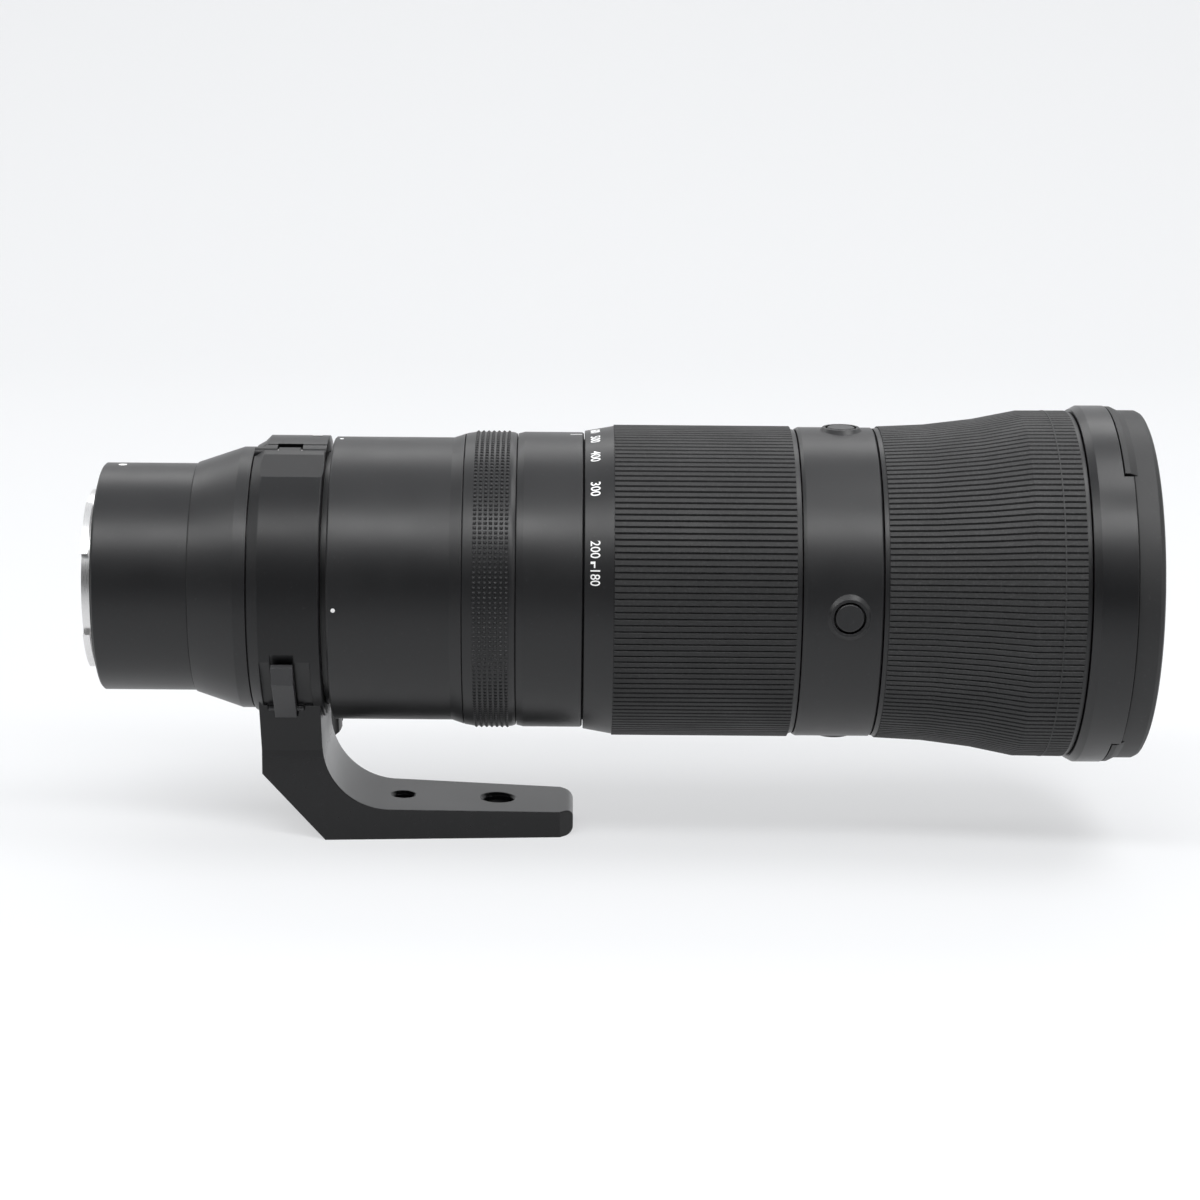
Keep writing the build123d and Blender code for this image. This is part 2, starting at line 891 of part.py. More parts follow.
def drive_pin_in_ring(share):
    """Where a blade's drive pin lies in the iris ring, part of the way through its turn."""
    pivot = on_circle(iris_pivot_circle, 0)
    drive = on_circle(blade_pin_circle, blade_pin_angle)
    turn = math.radians(blade_turn * share)
    ring = math.radians(iris_ring_turn * share)
    dy, dz = drive[0] - pivot[0], drive[1] - pivot[1]
    y = pivot[0] + dy * math.cos(turn) - dz * math.sin(turn)
    z = pivot[1] + dy * math.sin(turn) + dz * math.cos(turn)
    return y * math.cos(ring) - z * math.sin(ring), y * math.sin(ring) + z * math.cos(ring)


def make_iris_ring():
    end = x_iris_ring + iris_ring_thickness
    ring = tube(x_iris_ring, end, iris_wall_inner - running_gap, iris_bore)
    slot_radius = iris_pin_radius + iris_slot_play
    steps = 3
    points = [drive_pin_in_ring(i / steps) for i in range(steps + 1)]
    slot = None
    for a, b in zip(points, points[1:]):
        piece = link(x_iris_ring - cut_over, end + cut_over, a, b, slot_radius)
        slot = piece if slot is None else slot + piece
    for angle in blade_angles():
        ring -= around(angle, slot)
    return ring


# Core barrel, guide tube and cam tube

guide_bore = guide_radius - guide_wall
cam_bore = guide_radius + cam_bore_gap
cam_radius = cam_bore + cam_wall
focus_rib_start = x_focus + parting_gap + focus_lip_length
focus_rib_end = x_front - parting_gap - focus_lip_length
focus_rib_length = focus_rib_end - focus_rib_start
x_flare_start = focus_rib_start + flare_start_share * focus_rib_length
x_flare_end = focus_rib_start + flare_end_share * focus_rib_length


def make_core_barrel():
    spigot_out = mid_bore - seat_gap
    spigot_in = spigot_out - core_wall
    front_bore = core_front_radius - core_wall
    start = x_control - spigot_depth
    core = turned((
        (start, spigot_out),
        (x_control, spigot_out),
        (x_control, core_radius),
        (x_flare_start, core_radius),
        (x_flare_end, core_front_radius),
        (x_rim, core_front_radius),
        (x_rim, front_bore),
        (x_flare_end, front_bore),
        (x_flare_start, core_bore),
        (x_control, core_bore),
        (x_control, spigot_in),
        (start, spigot_in),
    ))
    half = math.degrees(math.atan((key_width / 2 + running_gap) / core_bore))
    first = -zoom_turn - half
    slot = arc_ring(key_place - key_length / 2 - running_gap,
                    key_place + key_length / 2 + running_gap,
                    core_radius + cut_over, core_bore - cut_over / 2, first, zoom_turn + half * 2)
    return core - slot


def follower_angles(first):
    return [first + i * 360 / follower_count for i in range(follower_count)]


def straight_slot(place_a, place_b, angle):
    """A slot through the guide tube along the axis, for one follower."""
    width = (follower_radius + follower_play) * 2
    low, high = min(place_a, place_b), max(place_a, place_b)
    depth = guide_wall + cut_over
    middle = guide_radius - guide_wall / 2
    bar = Pos((low + high) / 2, middle, 0) * Box(high - low, depth, width)
    ends = [post(place, 0, middle - depth / 2, middle + depth / 2, width / 2)
            for place in (low, high)]
    return around(angle, bar + ends[0] + ends[1])


def make_guide_tube():
    body = turned((
        (guide_start, guide_bore),
        (guide_start, core_bore - seat_gap),
        (guide_start + guide_flange, core_bore - seat_gap),
        (guide_start + guide_flange, guide_radius),
        (guide_end - guide_flange, guide_radius),
        (guide_end - guide_flange, core_bore - seat_gap),
        (guide_end, core_bore - seat_gap),
        (guide_end, guide_bore),
    ))
    for angle in follower_angles(variator_first_angle):
        body -= straight_slot(variator_place, variator_place + variator_travel, angle)
    for angle in follower_angles(compensator_first_angle):
        body -= straight_slot(compensator_place - compensator_travel, compensator_place, angle)
    return body


def helical_slot(place, travel, angle):
    """A slot of constant pitch through the cam tube, as a chain of short radial cuts."""
    radius = follower_radius + follower_play
    middle = cam_bore + cam_wall / 2
    low, high = cam_bore - cut_over / 4, cam_radius + cut_over / 4
    arc_length = math.radians(zoom_turn) * middle
    slope = math.degrees(math.atan2(travel, arc_length))
    steps = 7
    length = math.hypot(travel, arc_length) / steps + radius
    bar = Box(radius * 2, high - low, length)
    slot = None
    for i in range(steps):
        share = (i + 0.5) / steps
        piece = Pos(place + travel * share, (low + high) / 2, 0) * Rot(Y=slope) * bar
        piece = around(angle + zoom_turn * share, piece)
        slot = piece if slot is None else slot + piece
    for share in (0, 1):
        slot += post(place + travel * share, angle + zoom_turn * share, low, high, radius)
    return slot


def make_cam_tube():
    start = guide_start + guide_flange + cam_start_gap
    end = guide_end - guide_flange - cam_start_gap
    body = tube(start, end, cam_radius, cam_bore)
    for angle in follower_angles(variator_first_angle):
        body -= helical_slot(variator_place, variator_travel, angle)
    for angle in follower_angles(compensator_first_angle):
        body -= helical_slot(compensator_place, -compensator_travel, angle)
    top = core_radius + running_gap + key_depth
    low = cam_bore + cam_wall / 2
    key = Pos(key_place, (low + top) / 2, 0) * Box(key_length, top - low, key_width)
    return body + key


def moving_cell(place, length, glass_radius, first_angle):
    """A cell in the guide tube with its followers, which reach into the cam slots."""
    start = place - length / 2
    end = place + length / 2
    outer = guide_bore - running_gap
    ring = cell(start, end, outer, glass_radius)
    for angle in follower_angles(first_angle):
        ring += post(place, angle, outer - shell_wall, cam_radius - seat_gap, follower_radius)
    return ring


def moving_lens(place, length, glass_radius, rear_share, front_share):
    """The glass of a moving cell."""
    return cell_lens(place - length / 2, place + length / 2, glass_radius,
                     rear_share, front_share)


# Turning rings

ring_bore = core_radius + running_gap


def make_control_ring():
    start = x_control + parting_gap
    end = x_index - parting_gap
    knurl_start = start + control_shoulder
    knurl_end = knurl_start + knurl_length
    return turned((
        (start, ring_bore),
        (start, control_start_radius),
        (knurl_start - edge_break, control_edge_radius),
        (knurl_start, knurl_radius),
        (knurl_end, knurl_radius),
        (knurl_end + edge_break, control_edge_radius),
        (end, control_start_radius),
        (end, ring_bore),
    ))


def make_index_ring():
    bore = core_radius + seat_gap
    bevel = edge_break * 4
    return turned((
        (x_index, bore),
        (x_index, index_radius - edge_break),
        (x_index + bevel, index_radius),
        (x_zoom - edge_break, index_radius),
        (x_zoom, index_radius - edge_break),
        (x_zoom, bore),
    ))


x_zoom_ring = x_zoom + parting_gap
x_zoom_grip = x_zoom_ring + number_band_length
x_zoom_ring_end = x_buttons - parting_gap
x_zoom_grip_end = x_zoom_ring_end - zoom_lip_length
zoom_seat = grip_radius - grip_thickness


def make_zoom_sleeve():
    sleeve = turned((
        (x_zoom_ring, ring_bore),
        (x_zoom_ring, number_start_radius),
        (x_zoom_grip, number_end_radius),
        (x_zoom_grip, zoom_seat),
        (x_zoom_grip_end, zoom_seat),
        (x_zoom_grip_end, zoom_lip_radius),
        (x_zoom_ring_end, zoom_lip_radius - edge_break),
        (x_zoom_ring_end, ring_bore),
    ))
    depth = key_depth + seat_gap
    pocket = Box(key_length + seat_gap * 2, depth + cut_over, key_width + seat_gap * 2)
    return sleeve - Pos(key_place, ring_bore + (depth - cut_over) / 2, 0) * pocket


def ribbed_outline(place, top_radius, count):
    """A closed outline of flat-topped ribs with a groove between each pair."""
    step = 2 * math.pi / count
    half_land = step * rib_land_share / 2
    groove = top_radius - rib_depth
    points = []
    for i in range(count):
        angle = i * step
        for turn, radius in ((-half_land, top_radius), (half_land, top_radius), (step / 2, groove)):
            points.append((radius * math.cos(angle + turn), radius * math.sin(angle + turn)))
    return Plane.YZ.offset(place) * make_face(Polyline(*points, close=True))


def make_zoom_grip():
    length = x_zoom_grip_end - x_zoom_grip
    grip = extrude(ribbed_outline(x_zoom_grip, grip_radius, zoom_rib_count), length)
    return grip - disc(x_zoom_grip - cut_over, x_zoom_grip_end + cut_over, zoom_seat + seat_gap)


def focus_station_points(inset):
    """Places and radii along the focus grip, set in from the tops of its ribs."""
    points = []
    for place_share, radius_share in focus_profile:
        radius = focus_start_radius + radius_share * (focus_end_radius - focus_start_radius)
        points.append((focus_rib_start + place_share * focus_rib_length, radius - inset))
    return points


def make_focus_grip():
    sections = [ribbed_outline(place, radius, focus_rib_count)
                for place, radius in focus_station_points(0)]
    grip = loft(sections, ruled=True)
    inner = focus_station_points(grip_thickness - seat_gap)
    first, last = inner[0], inner[-1]
    core = turned(
        [(first[0] - cut_over, 0), (first[0] - cut_over, first[1])] + inner
        + [(last[0] + cut_over, last[1]), (last[0] + cut_over, 0)])
    return grip - core


def make_focus_sleeve():
    start = x_focus + parting_gap
    end = x_front - parting_gap
    seat = focus_station_points(grip_thickness)
    front_bore = core_front_radius + running_gap
    outline = [(start, ring_bore), (start, button_ring_radius - edge_break / 2),
               (focus_rib_start, button_ring_radius)]
    outline += seat
    outline += [(focus_rib_end, focus_end_radius - edge_break / 2),
                (end, focus_end_radius - edge_break),
                (end, front_bore), (x_flare_end, front_bore), (x_flare_start, ring_bore)]
    return turned(outline)


# Button ring and buttons

x_button = x_buttons + button_place_share * button_ring_length
button_floor = core_radius + button_travel * 2
button_flange_top = button_floor + button_flange_height
button_ceiling = button_flange_top + seat_gap


def make_button_ring():
    bore = core_radius + seat_gap
    ring = turned((
        (x_buttons, bore),
        (x_buttons, button_ring_radius - edge_break),
        (x_buttons + edge_break * 2, button_ring_radius),
        (x_focus - edge_break, button_ring_radius),
        (x_focus, button_ring_radius - edge_break),
        (x_focus, bore),
    ))
    low = bezel_top - bezel_foot_depth
    boss = Pos(x_button, low, 0) * Rot(X=-90) * Cone(
        bezel_foot_radius, bezel_top_radius, bezel_foot_depth,
        align=(Align.CENTER, Align.CENTER, Align.MIN))
    for angle in button_angles:
        ring += around(angle, boss)
    well = button_radius + button_flange + button_gap / 2
    for angle in button_angles:
        ring -= post(x_button, angle, bore - cut_over / 2, button_ceiling, well)
        ring -= post(x_button, angle, button_ceiling - edge_break, bezel_top + cut_over,
                     button_radius + button_gap)
    return ring


def make_button(angle):
    cap = post(x_button, 0, button_floor, button_flange_top, button_radius + button_flange)
    stem = post(x_button, 0, button_flange_top, button_top, button_radius)
    top_edge = stem.edges().filter_by(GeomType.CIRCLE).sort_by(Axis.Y)[-1]
    return around(angle, cap + fillet(top_edge, edge_break))


# Switch panel and switches

def make_switch_panel():
    depth = panel_top - mid_barrel_radius / 2
    body = Pos(panel_start + panel_length / 2, panel_top - depth / 2, 0) * Box(
        panel_length, depth, panel_half_height * 2)
    rim_edges = body.faces().sort_by(Axis.Y)[-1].edges()
    body = chamfer(rim_edges, edge_break)
    body -= disc(panel_start - cut_over, panel_start + panel_length + cut_over,
                 mid_barrel_radius + seat_gap)
    window_width = switch_size + running_gap * 2
    window_height = switch_size + switch_travel + running_gap * 2
    for place in switch_places:
        body -= Pos(place, panel_top, 0) * Box(window_width, panel_top, window_height)
    return body


def make_switch(place):
    low = mid_barrel_radius + running_gap + seat_gap
    slider = Pos(place, (low + switch_top) / 2, switch_travel / 2) * Box(
        switch_size, switch_top - low, switch_size)
    return chamfer(slider.faces().sort_by(Axis.Y)[-1].edges(), switch_edge)


# Front group

def hood_zones(end, inner, outer, rear_gap, end_gap):
    """The top and bottom stretches where the rim reaches further back."""
    start = x_rim - hood_zone_length - rear_gap
    arc = hood_zone_arc + math.degrees(end_gap / outer) * 2
    return [arc_ring(start, end, outer, inner, middle - arc / 2, arc) for middle in (90, 270)]


def make_front_ring():
    bore = core_front_radius + seat_gap
    hub = bore + core_wall
    web_end = x_front + front_bevel + front_wall / 2
    ring = turned((
        (x_front, bore),
        (x_front, front_bevel_radius),
        (x_front + front_bevel, front_ring_radius),
        (x_rim, front_ring_radius),
        (x_rim, front_ring_radius - front_wall),
        (web_end, front_ring_radius - front_wall),
        (web_end, hub),
        (x_rim, hub),
        (x_rim, bore),
    ))
    zone_bore = front_ring_radius - hood_zone_depth
    for zone in hood_zones(x_rim + cut_over, zone_bore, front_ring_radius + cut_over,
                           hood_rear_gap, hood_end_gap):
        ring -= zone
    return ring


def make_front_rim():
    thread_start = x_end - filter_thread_length
    groove = rim_radius - rim_groove_depth
    rim = turned((
        (x_rim, baffle_radius),
        (x_rim, groove),
        (x_rim + rim_groove_width, groove),
        (x_rim + rim_groove_width, rim_radius),
        (x_end - rim_edge, rim_radius),
        (x_end - rim_edge / 3, rim_radius - rim_edge / 3),
        (x_end, rim_radius - rim_edge),
        (x_end, filter_thread_radius),
        (thread_start, filter_thread_radius),
        (thread_start, baffle_radius),
    ))
    bore = front_ring_radius - hood_zone_depth + seat_gap
    slope_start = x_rim - hood_slope_set_back
    slope_end = slope_start + hood_slope_length
    lugs = turned((
        (x_rim - hood_zone_length, bore),
        (x_rim - hood_zone_length, hood_lug_radius),
        (slope_start, hood_lug_radius),
        (slope_end, rim_radius),
        (slope_end, bore),
    ))
    for zone in hood_zones(x_end, bore - cut_over, hood_lug_radius + cut_over, 0, 0):
        rim += lugs & zone
    return rim


front_cell_radius = core_front_radius - core_wall - seat_gap
x_front_glass = front_glass_edge_x - front_glass_edge


def make_front_cell():
    bore = front_glass_radius + seat_gap
    back_curve = front_glass_back_share * front_glass_radius
    seat = x_front_glass - rise(back_curve, front_glass_radius, front_cell_lip)
    seat -= seat_gap
    start = seat - front_cell_lip_depth
    return turned((
        (start, front_cell_radius),
        (x_rim, front_cell_radius),
        (x_rim, front_cell_radius - front_cell_wall / 2),
        (front_glass_edge_x + front_cell_lip, bore),
        (seat, bore),
        (seat, bore - front_cell_lip),
        (start, bore - front_cell_lip),
    ))


def make_front_element():
    return lens(x_front_glass, front_glass_edge_x, front_glass_radius,
                front_glass_back_share * front_glass_radius,
                front_glass_front_share * front_glass_radius)


# Tripod collar

collar_end = collar_start + collar_width
collar_middle = collar_start + collar_width / 2
hinge_y, hinge_z = on_circle(hinge_circle, hinge_angle)
tongue_middle = collar_start + tongue_place_share * collar_width


def collar_outline():
    return (
        (collar_start, collar_bore),
        (collar_start, collar_radius - collar_bevel_depth),
        (collar_start + collar_bevel_length, collar_radius),
        (collar_end - edge_break, collar_radius),
        (collar_end, collar_radius - edge_break),
        (collar_end, collar_bore),
    )


def clamp_box(low, high, tau_low, tau_high, width):
    """A box beside the clamp screw's line, from the hinge pin outwards."""
    box = Pos(collar_middle, (low + high) / 2, (tau_low + tau_high) / 2) * Box(
        width, high - low, tau_high - tau_low)
    return Pos(0, hinge_y, hinge_z) * Rot(X=clamp_angle) * box


def clamp_post(low, high, radius):
    """A cylinder on the clamp screw's line."""
    up = Pos(collar_middle, low, 0) * Rot(X=-90)
    solid = up * Cylinder(radius, high - low, align=(Align.CENTER, Align.CENTER, Align.MIN))
    return Pos(0, hinge_y, hinge_z) * Rot(X=clamp_angle) * solid


def hinge_disc(start, end, radius):
    return disc(start, end, radius, hinge_y, hinge_z)


def knuckle_ranges():
    """The stretches along the hinge: the tongue, then the two outer knuckles."""
    low = tongue_middle - tongue_width / 2
    high = tongue_middle + tongue_width / 2
    rear = (collar_start, low - hinge_side_gap)
    front = (high + hinge_side_gap, collar_end)
    return (low, high), (rear, front)


def clamp_side(tau_low, tau_high):
    """Everything on one side of the split, as a large box."""
    reach = clamp_seat + clamp_ear_thickness + cut_over
    return clamp_box(hinge_circle, reach, tau_low, tau_high, collar_width + cut_over)


def foot_side_profile():
    """The foot seen from the side: neck, diagonal heel, plate and toe."""
    slope = (heel_thickness - toe_thickness) / (foot_toe - foot_heel)
    heel_top = foot_bottom + heel_thickness
    toe_top = foot_bottom + toe_thickness
    front_x = neck_front + neck_fillet
    front_z = heel_top - slope * (front_x - foot_heel)
    arc_mid_x = neck_front + neck_fillet * (1 - math.cos(math.radians(45)))
    arc_mid_z = front_z + neck_fillet * (1 - math.sin(math.radians(45)))
    outline = (
        Polyline((neck_front, neck_top), (foot_rear, neck_top), (foot_rear, foot_diagonal_top),
                 (foot_heel, foot_bottom), (foot_toe, foot_bottom), (foot_toe, toe_top),
                 (front_x, front_z))
        + ThreePointArc((front_x, front_z), (arc_mid_x, arc_mid_z),
                        (neck_front, front_z + neck_fillet))
        + Line((neck_front, front_z + neck_fillet), (neck_front, neck_top))
    )
    return Plane.XZ * make_face(outline)


def foot_end_profile():
    """The foot seen from the front: straight sides that flare up to the collar's near side."""
    outline = Polyline(
        (heel_half_width, neck_top), (-neck_flare_half_width, neck_top),
        (-heel_half_width, neck_straight_top), (-heel_half_width, foot_bottom),
        (heel_half_width, foot_bottom), close=True)
    return Plane.YZ.offset(foot_rear - cut_over) * make_face(outline)


def foot_plan_profile():
    """The foot seen from above: a plate that narrows to a rounded toe."""
    wide = neck_flare_half_width + cut_over
    start = foot_rear - cut_over
    rounded = foot_toe - toe_corner
    half_at_round = toe_half_width
    outline = Polyline(
        (start, -wide), (foot_heel, -wide), (foot_heel, -heel_half_width),
        (rounded, -half_at_round), (foot_toe, -half_at_round + toe_corner),
        (foot_toe, half_at_round - toe_corner), (rounded, half_at_round),
        (foot_heel, heel_half_width), (foot_heel, wide), (start, wide), close=True)
    return Plane.XY.offset(foot_bottom - cut_over) * make_face(outline)


def make_foot():
    span = neck_flare_half_width + cut_over
    side = extrude(foot_side_profile(), span, both=True)
    end = extrude(foot_end_profile(), foot_toe - foot_rear + cut_over * 2)
    plan = extrude(foot_plan_profile(), neck_top - foot_bottom + cut_over * 2)
    foot = side & end & plan
    toe_edges = foot.edges().filter_by(Axis.Y).sort_by(Axis.X)[-2:]
    foot = fillet(toe_edges, toe_end_round)
    for place, radius in ((small_socket_place, small_socket_radius),
                          (large_socket_place, large_socket_radius)):
        slope = (heel_thickness - toe_thickness) / (foot_toe - foot_heel)
        top = foot_bottom + heel_thickness - slope * (place - foot_heel)
        foot -= Pos(place, 0, foot_bottom - cut_over) * Cylinder(
            radius, top - foot_bottom + cut_over * 2, align=(Align.CENTER, Align.CENTER, Align.MIN))
        mouth = Cone(radius, radius + socket_chamfer * 2, socket_chamfer * 2)
        foot -= Pos(place, 0, top) * mouth
        foot -= Pos(place, 0, foot_bottom) * Rot(X=180) * mouth
    return foot


def latch_box(start, width, low, high, drop_low, drop_high):
    """A box on the latch's part of the collar. Drops run down the side of the collar."""
    box = Pos(start + width / 2, (low + high) / 2, (drop_low + drop_high) / 2) * Box(
        width, high - low, drop_high - drop_low)
    return around(latch_angle, box)


def latch_cylinder(start, end, radius):
    return around(latch_angle, disc(start, end, radius, latch_pivot_height, latch_pivot_drop))


def make_collar_foot():
    tongue, outers = knuckle_ranges()
    leaf = turned(collar_outline())
    leaf += make_foot()
    leaf += clamp_box(clamp_seat - clamp_block_depth, clamp_seat,
                      -clamp_block_reach, clamp_split, clamp_ear_width) & hinge_disc(
        collar_start, collar_end, clamp_seat)
    leaf -= disc(collar_start - cut_over, collar_end + cut_over, collar_bore)
    far_half = Pos(collar_middle, collar_radius * 1.5 + hinge_y, 0) * Box(
        collar_width * 2, collar_radius * 3, collar_radius * 3)
    keep_low = clamp_box(clamp_seat / 2, clamp_seat * 1.5, -clamp_seat, clamp_split,
                         collar_width * 2)
    cap_side = far_half - keep_low
    leaf -= cap_side
    leaf -= foot_clearances(outers)
    leaf += hinge_disc(*tongue, knuckle_radius)
    leaf -= hinge_disc(collar_start - cut_over, collar_end + cut_over,
                       hinge_pin_radius + seat_gap)
    leaf -= clamp_post(clamp_seat - clamp_screw_depth - cut_over / 2, clamp_seat + cut_over,
                       clamp_screw_radius + pin_gap)
    leaf -= around(facet_angle, Pos(collar_middle, facet_distance + cut_over, 0) * Box(
        collar_width * 2, cut_over * 2, facet_width))
    leaf -= latch_box(pocket_start, pocket_width, pocket_floor, collar_radius + cut_over * 2,
                      -pocket_top, pocket_bottom)
    leaf -= latch_box(latch_start - running_gap, latch_width + running_gap * 2,
                      pocket_floor - running_gap * 3, collar_radius + cut_over * 2,
                      -pocket_top, latch_foot + running_gap * 2)
    half = latch_trunnion_length + running_gap
    leaf -= latch_cylinder(latch_start - half, latch_start + latch_width + half,
                           latch_trunnion_radius + pin_gap)
    return leaf


def foot_clearances(outers):
    """Room for the cap's knuckles as it swings open."""
    rear, front = outers
    reach = knuckle_radius + hinge_relief
    room = hinge_disc(rear[0] - cut_over, rear[1] + hinge_side_gap, reach)
    room += hinge_disc(front[0] - hinge_side_gap, front[1] + cut_over, reach)
    return room


def make_collar_cap():
    tongue, outers = knuckle_ranges()
    cap = turned(collar_outline())
    crown_y, crown_z = on_circle(index_block_radius - index_block_crown, index_block_angle)
    crown = disc(collar_start + index_block_set_in, collar_end, index_block_crown,
                 crown_y, crown_z)
    rear_edge = crown.edges().filter_by(GeomType.CIRCLE).sort_by(Axis.X)[0]
    cap += chamfer(rear_edge, index_block_bevel)
    seat = clamp_seat + running_gap
    outer = seat + clamp_ear_thickness
    lug = clamp_box(clamp_seat - clamp_block_depth, outer + cut_over, -clamp_ear_reach,
                    clamp_shoulder_reach, clamp_ear_width)
    lug = lug & hinge_disc(collar_start, collar_end, outer)
    cap += lug
    cap -= disc(collar_start - cut_over, collar_end + cut_over, collar_bore)
    near_half = Pos(collar_middle, hinge_y - collar_radius * 1.5, 0) * Box(
        collar_width * 2, collar_radius * 3, collar_radius * 3)
    below_split = clamp_box(clamp_seat / 2, clamp_seat * 1.5, -clamp_seat,
                            clamp_split + running_gap, collar_width * 2)
    under_ear = below_split & hinge_disc(collar_start - cut_over, collar_end + cut_over, seat)
    cap -= near_half
    cap -= under_ear
    cap -= below_split - clamp_box(seat, outer + cut_over, -clamp_ear_reach, clamp_shoulder_reach,
                                   clamp_ear_width)
    groove = Pos(collar_middle, collar_radius, 0) * Box(
        collar_width * 2, hinge_groove * 2, hinge_groove)
    cap -= around(hinge_groove_angle, groove)
    cap -= hinge_disc(tongue[0] - hinge_side_gap, tongue[1] + hinge_side_gap,
                      knuckle_radius + hinge_notch)
    for start, end in outers:
        cap += hinge_disc(start, end, knuckle_radius)
    cap -= hinge_disc(collar_start - cut_over, collar_end + cut_over,
                      hinge_pin_radius + pin_gap)
    slot = clamp_screw_radius + clamp_screw_play
    cap -= clamp_post(seat - cut_over / 4, outer + cut_over, slot)
    cap -= clamp_box(seat - cut_over / 4, outer + cut_over, -clamp_ear_reach - cut_over, 0,
                     slot * 2)
    return cap


def make_hinge_pin():
    return hinge_disc(collar_start + edge_break, collar_end - edge_break, hinge_pin_radius)


def make_clamp_knob():
    ear_top = clamp_seat + running_gap + clamp_ear_thickness
    start = ear_top + running_gap
    head = start + knob_boss_length
    knob = clamp_post(clamp_seat - clamp_screw_depth, start + edge_break, clamp_screw_radius)
    knob += clamp_post(start, head, knob_boss_radius)
    grip = Cylinder(knob_radius, knob_length, align=(Align.CENTER, Align.CENTER, Align.MIN))
    grip = chamfer(grip.edges().filter_by(GeomType.CIRCLE), knob_edge)
    for i in range(knob_lobes):
        y, z = on_circle(knob_radius + knob_lobe_set_out, i * 360 / knob_lobes)
        grip -= Pos(y, z, 0) * Cylinder(knob_lobe_radius, knob_length * 3)
    place = Pos(0, hinge_y, hinge_z) * Rot(X=clamp_angle) * Pos(collar_middle, head, 0)
    return knob + place * Rot(X=-90) * grip


def make_latch_lever():
    floor = pocket_floor + running_gap
    pad_end = latch_pad_length - latch_top
    foot_floor = floor - running_gap
    outline = Polyline(
        (floor, -latch_top), (latch_pad_low, -latch_top), (latch_pad_high, pad_end),
        (latch_face, pad_end + edge_break), (latch_foot_face, latch_foot - edge_break * 2),
        (latch_foot_face - edge_break * 2, latch_foot), (foot_floor, latch_foot),
        (foot_floor, pocket_bottom - edge_break), (floor, pocket_bottom - edge_break * 2),
        close=True)
    face = Plane.YZ.offset(latch_start) * make_face(outline)
    lever = around(latch_angle, extrude(face, latch_width))
    return lever + latch_cylinder(latch_start - latch_trunnion_length,
                                  latch_start + latch_width + latch_trunnion_length,
                                  latch_trunnion_radius)


PIECES = {
    "mount_bayonet": make_bayonet,
    "mount_seal": make_seal,
    "mount_screws": make_mount_screws,
    "contact_block": make_contact_block,
    "contact_pins": make_contact_pins,
    "rear_barrel": make_rear_barrel,
    "rear_cell": make_rear_cell,
    "rear_element": make_rear_element,
    "main_board": make_main_board,
    "rear_cone": make_rear_cone,
    "mid_barrel": make_mid_barrel,
    "switch_panel": make_switch_panel,
    "guide_rods": make_guide_rods,
    "focus_motor": make_focus_motor,
    "drive_rod": make_drive_rod,
    "focus_cell": make_focus_cell,
    "focus_lens": make_focus_lens,
    "vr_yoke": make_vr_yoke,
    "vr_cell": make_vr_cell,
    "vr_lens": make_vr_lens,
    "iris_housing": make_iris_housing,
    "iris_ring": make_iris_ring,
    "core_barrel": make_core_barrel,
    "guide_tube": make_guide_tube,
    "cam_tube": make_cam_tube,
    "control_ring": make_control_ring,
    "index_ring": make_index_ring,
    "zoom_sleeve": make_zoom_sleeve,
    "zoom_grip": make_zoom_grip,
    "button_ring": make_button_ring,
    "focus_sleeve": make_focus_sleeve,
    "focus_grip": make_focus_grip,
    "front_ring": make_front_ring,
    "front_rim": make_front_rim,
    "front_cell": make_front_cell,
    "front_element": make_front_element,
    "collar_foot": make_collar_foot,
    "collar_cap": make_collar_cap,
    "hinge_pin": make_hinge_pin,
    "clamp_knob": make_clamp_knob,
    "latch_lever": make_latch_lever,
}

for name, make in PIECES.items():
    write(name, make())

variator_glass = guide_bore - variator_glass_drop
write("variator_cell", moving_cell(variator_place, variator_length, variator_glass,
                                   variator_first_angle))
write("variator_lens", moving_lens(variator_place, variator_length, variator_glass, -4, -5))

compensator_glass = guide_bore - compensator_glass_drop
write("compensator_cell", moving_cell(compensator_place, compensator_length,
                                      compensator_glass, compensator_first_angle))
write("compensator_lens", moving_lens(compensator_place, compensator_length,
                                      compensator_glass, 4, 5))

for blade in range(blade_count):
    write(f"iris_blade_{blade + 1}", make_blade(blade))

for name, angle in zip(("near", "top", "far", "bottom"), button_angles):
    write(f"button_{name}", make_button(angle))

for name, place in zip(("focus_mode_switch", "limiter_switch"), switch_places):
    write(name, make_switch(place))
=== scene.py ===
import json
import math

import bmesh
import bpy
from mathutils import Matrix, Vector


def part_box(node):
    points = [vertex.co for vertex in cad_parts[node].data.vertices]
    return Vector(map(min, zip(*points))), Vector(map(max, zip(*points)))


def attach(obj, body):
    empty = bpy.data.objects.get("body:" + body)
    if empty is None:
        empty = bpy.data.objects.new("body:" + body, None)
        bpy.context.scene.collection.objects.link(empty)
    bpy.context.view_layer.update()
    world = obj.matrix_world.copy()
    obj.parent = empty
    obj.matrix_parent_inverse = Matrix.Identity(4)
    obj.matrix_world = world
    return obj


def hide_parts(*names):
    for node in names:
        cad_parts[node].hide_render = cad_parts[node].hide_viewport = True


# Looks of a long telephoto zoom lens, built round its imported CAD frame. Metres.
# +X is the front of the lens and +Z is up. Angles are turned about +X from +Y
# towards +Z: 90 is the top, 180 the near side and 270 the bottom.

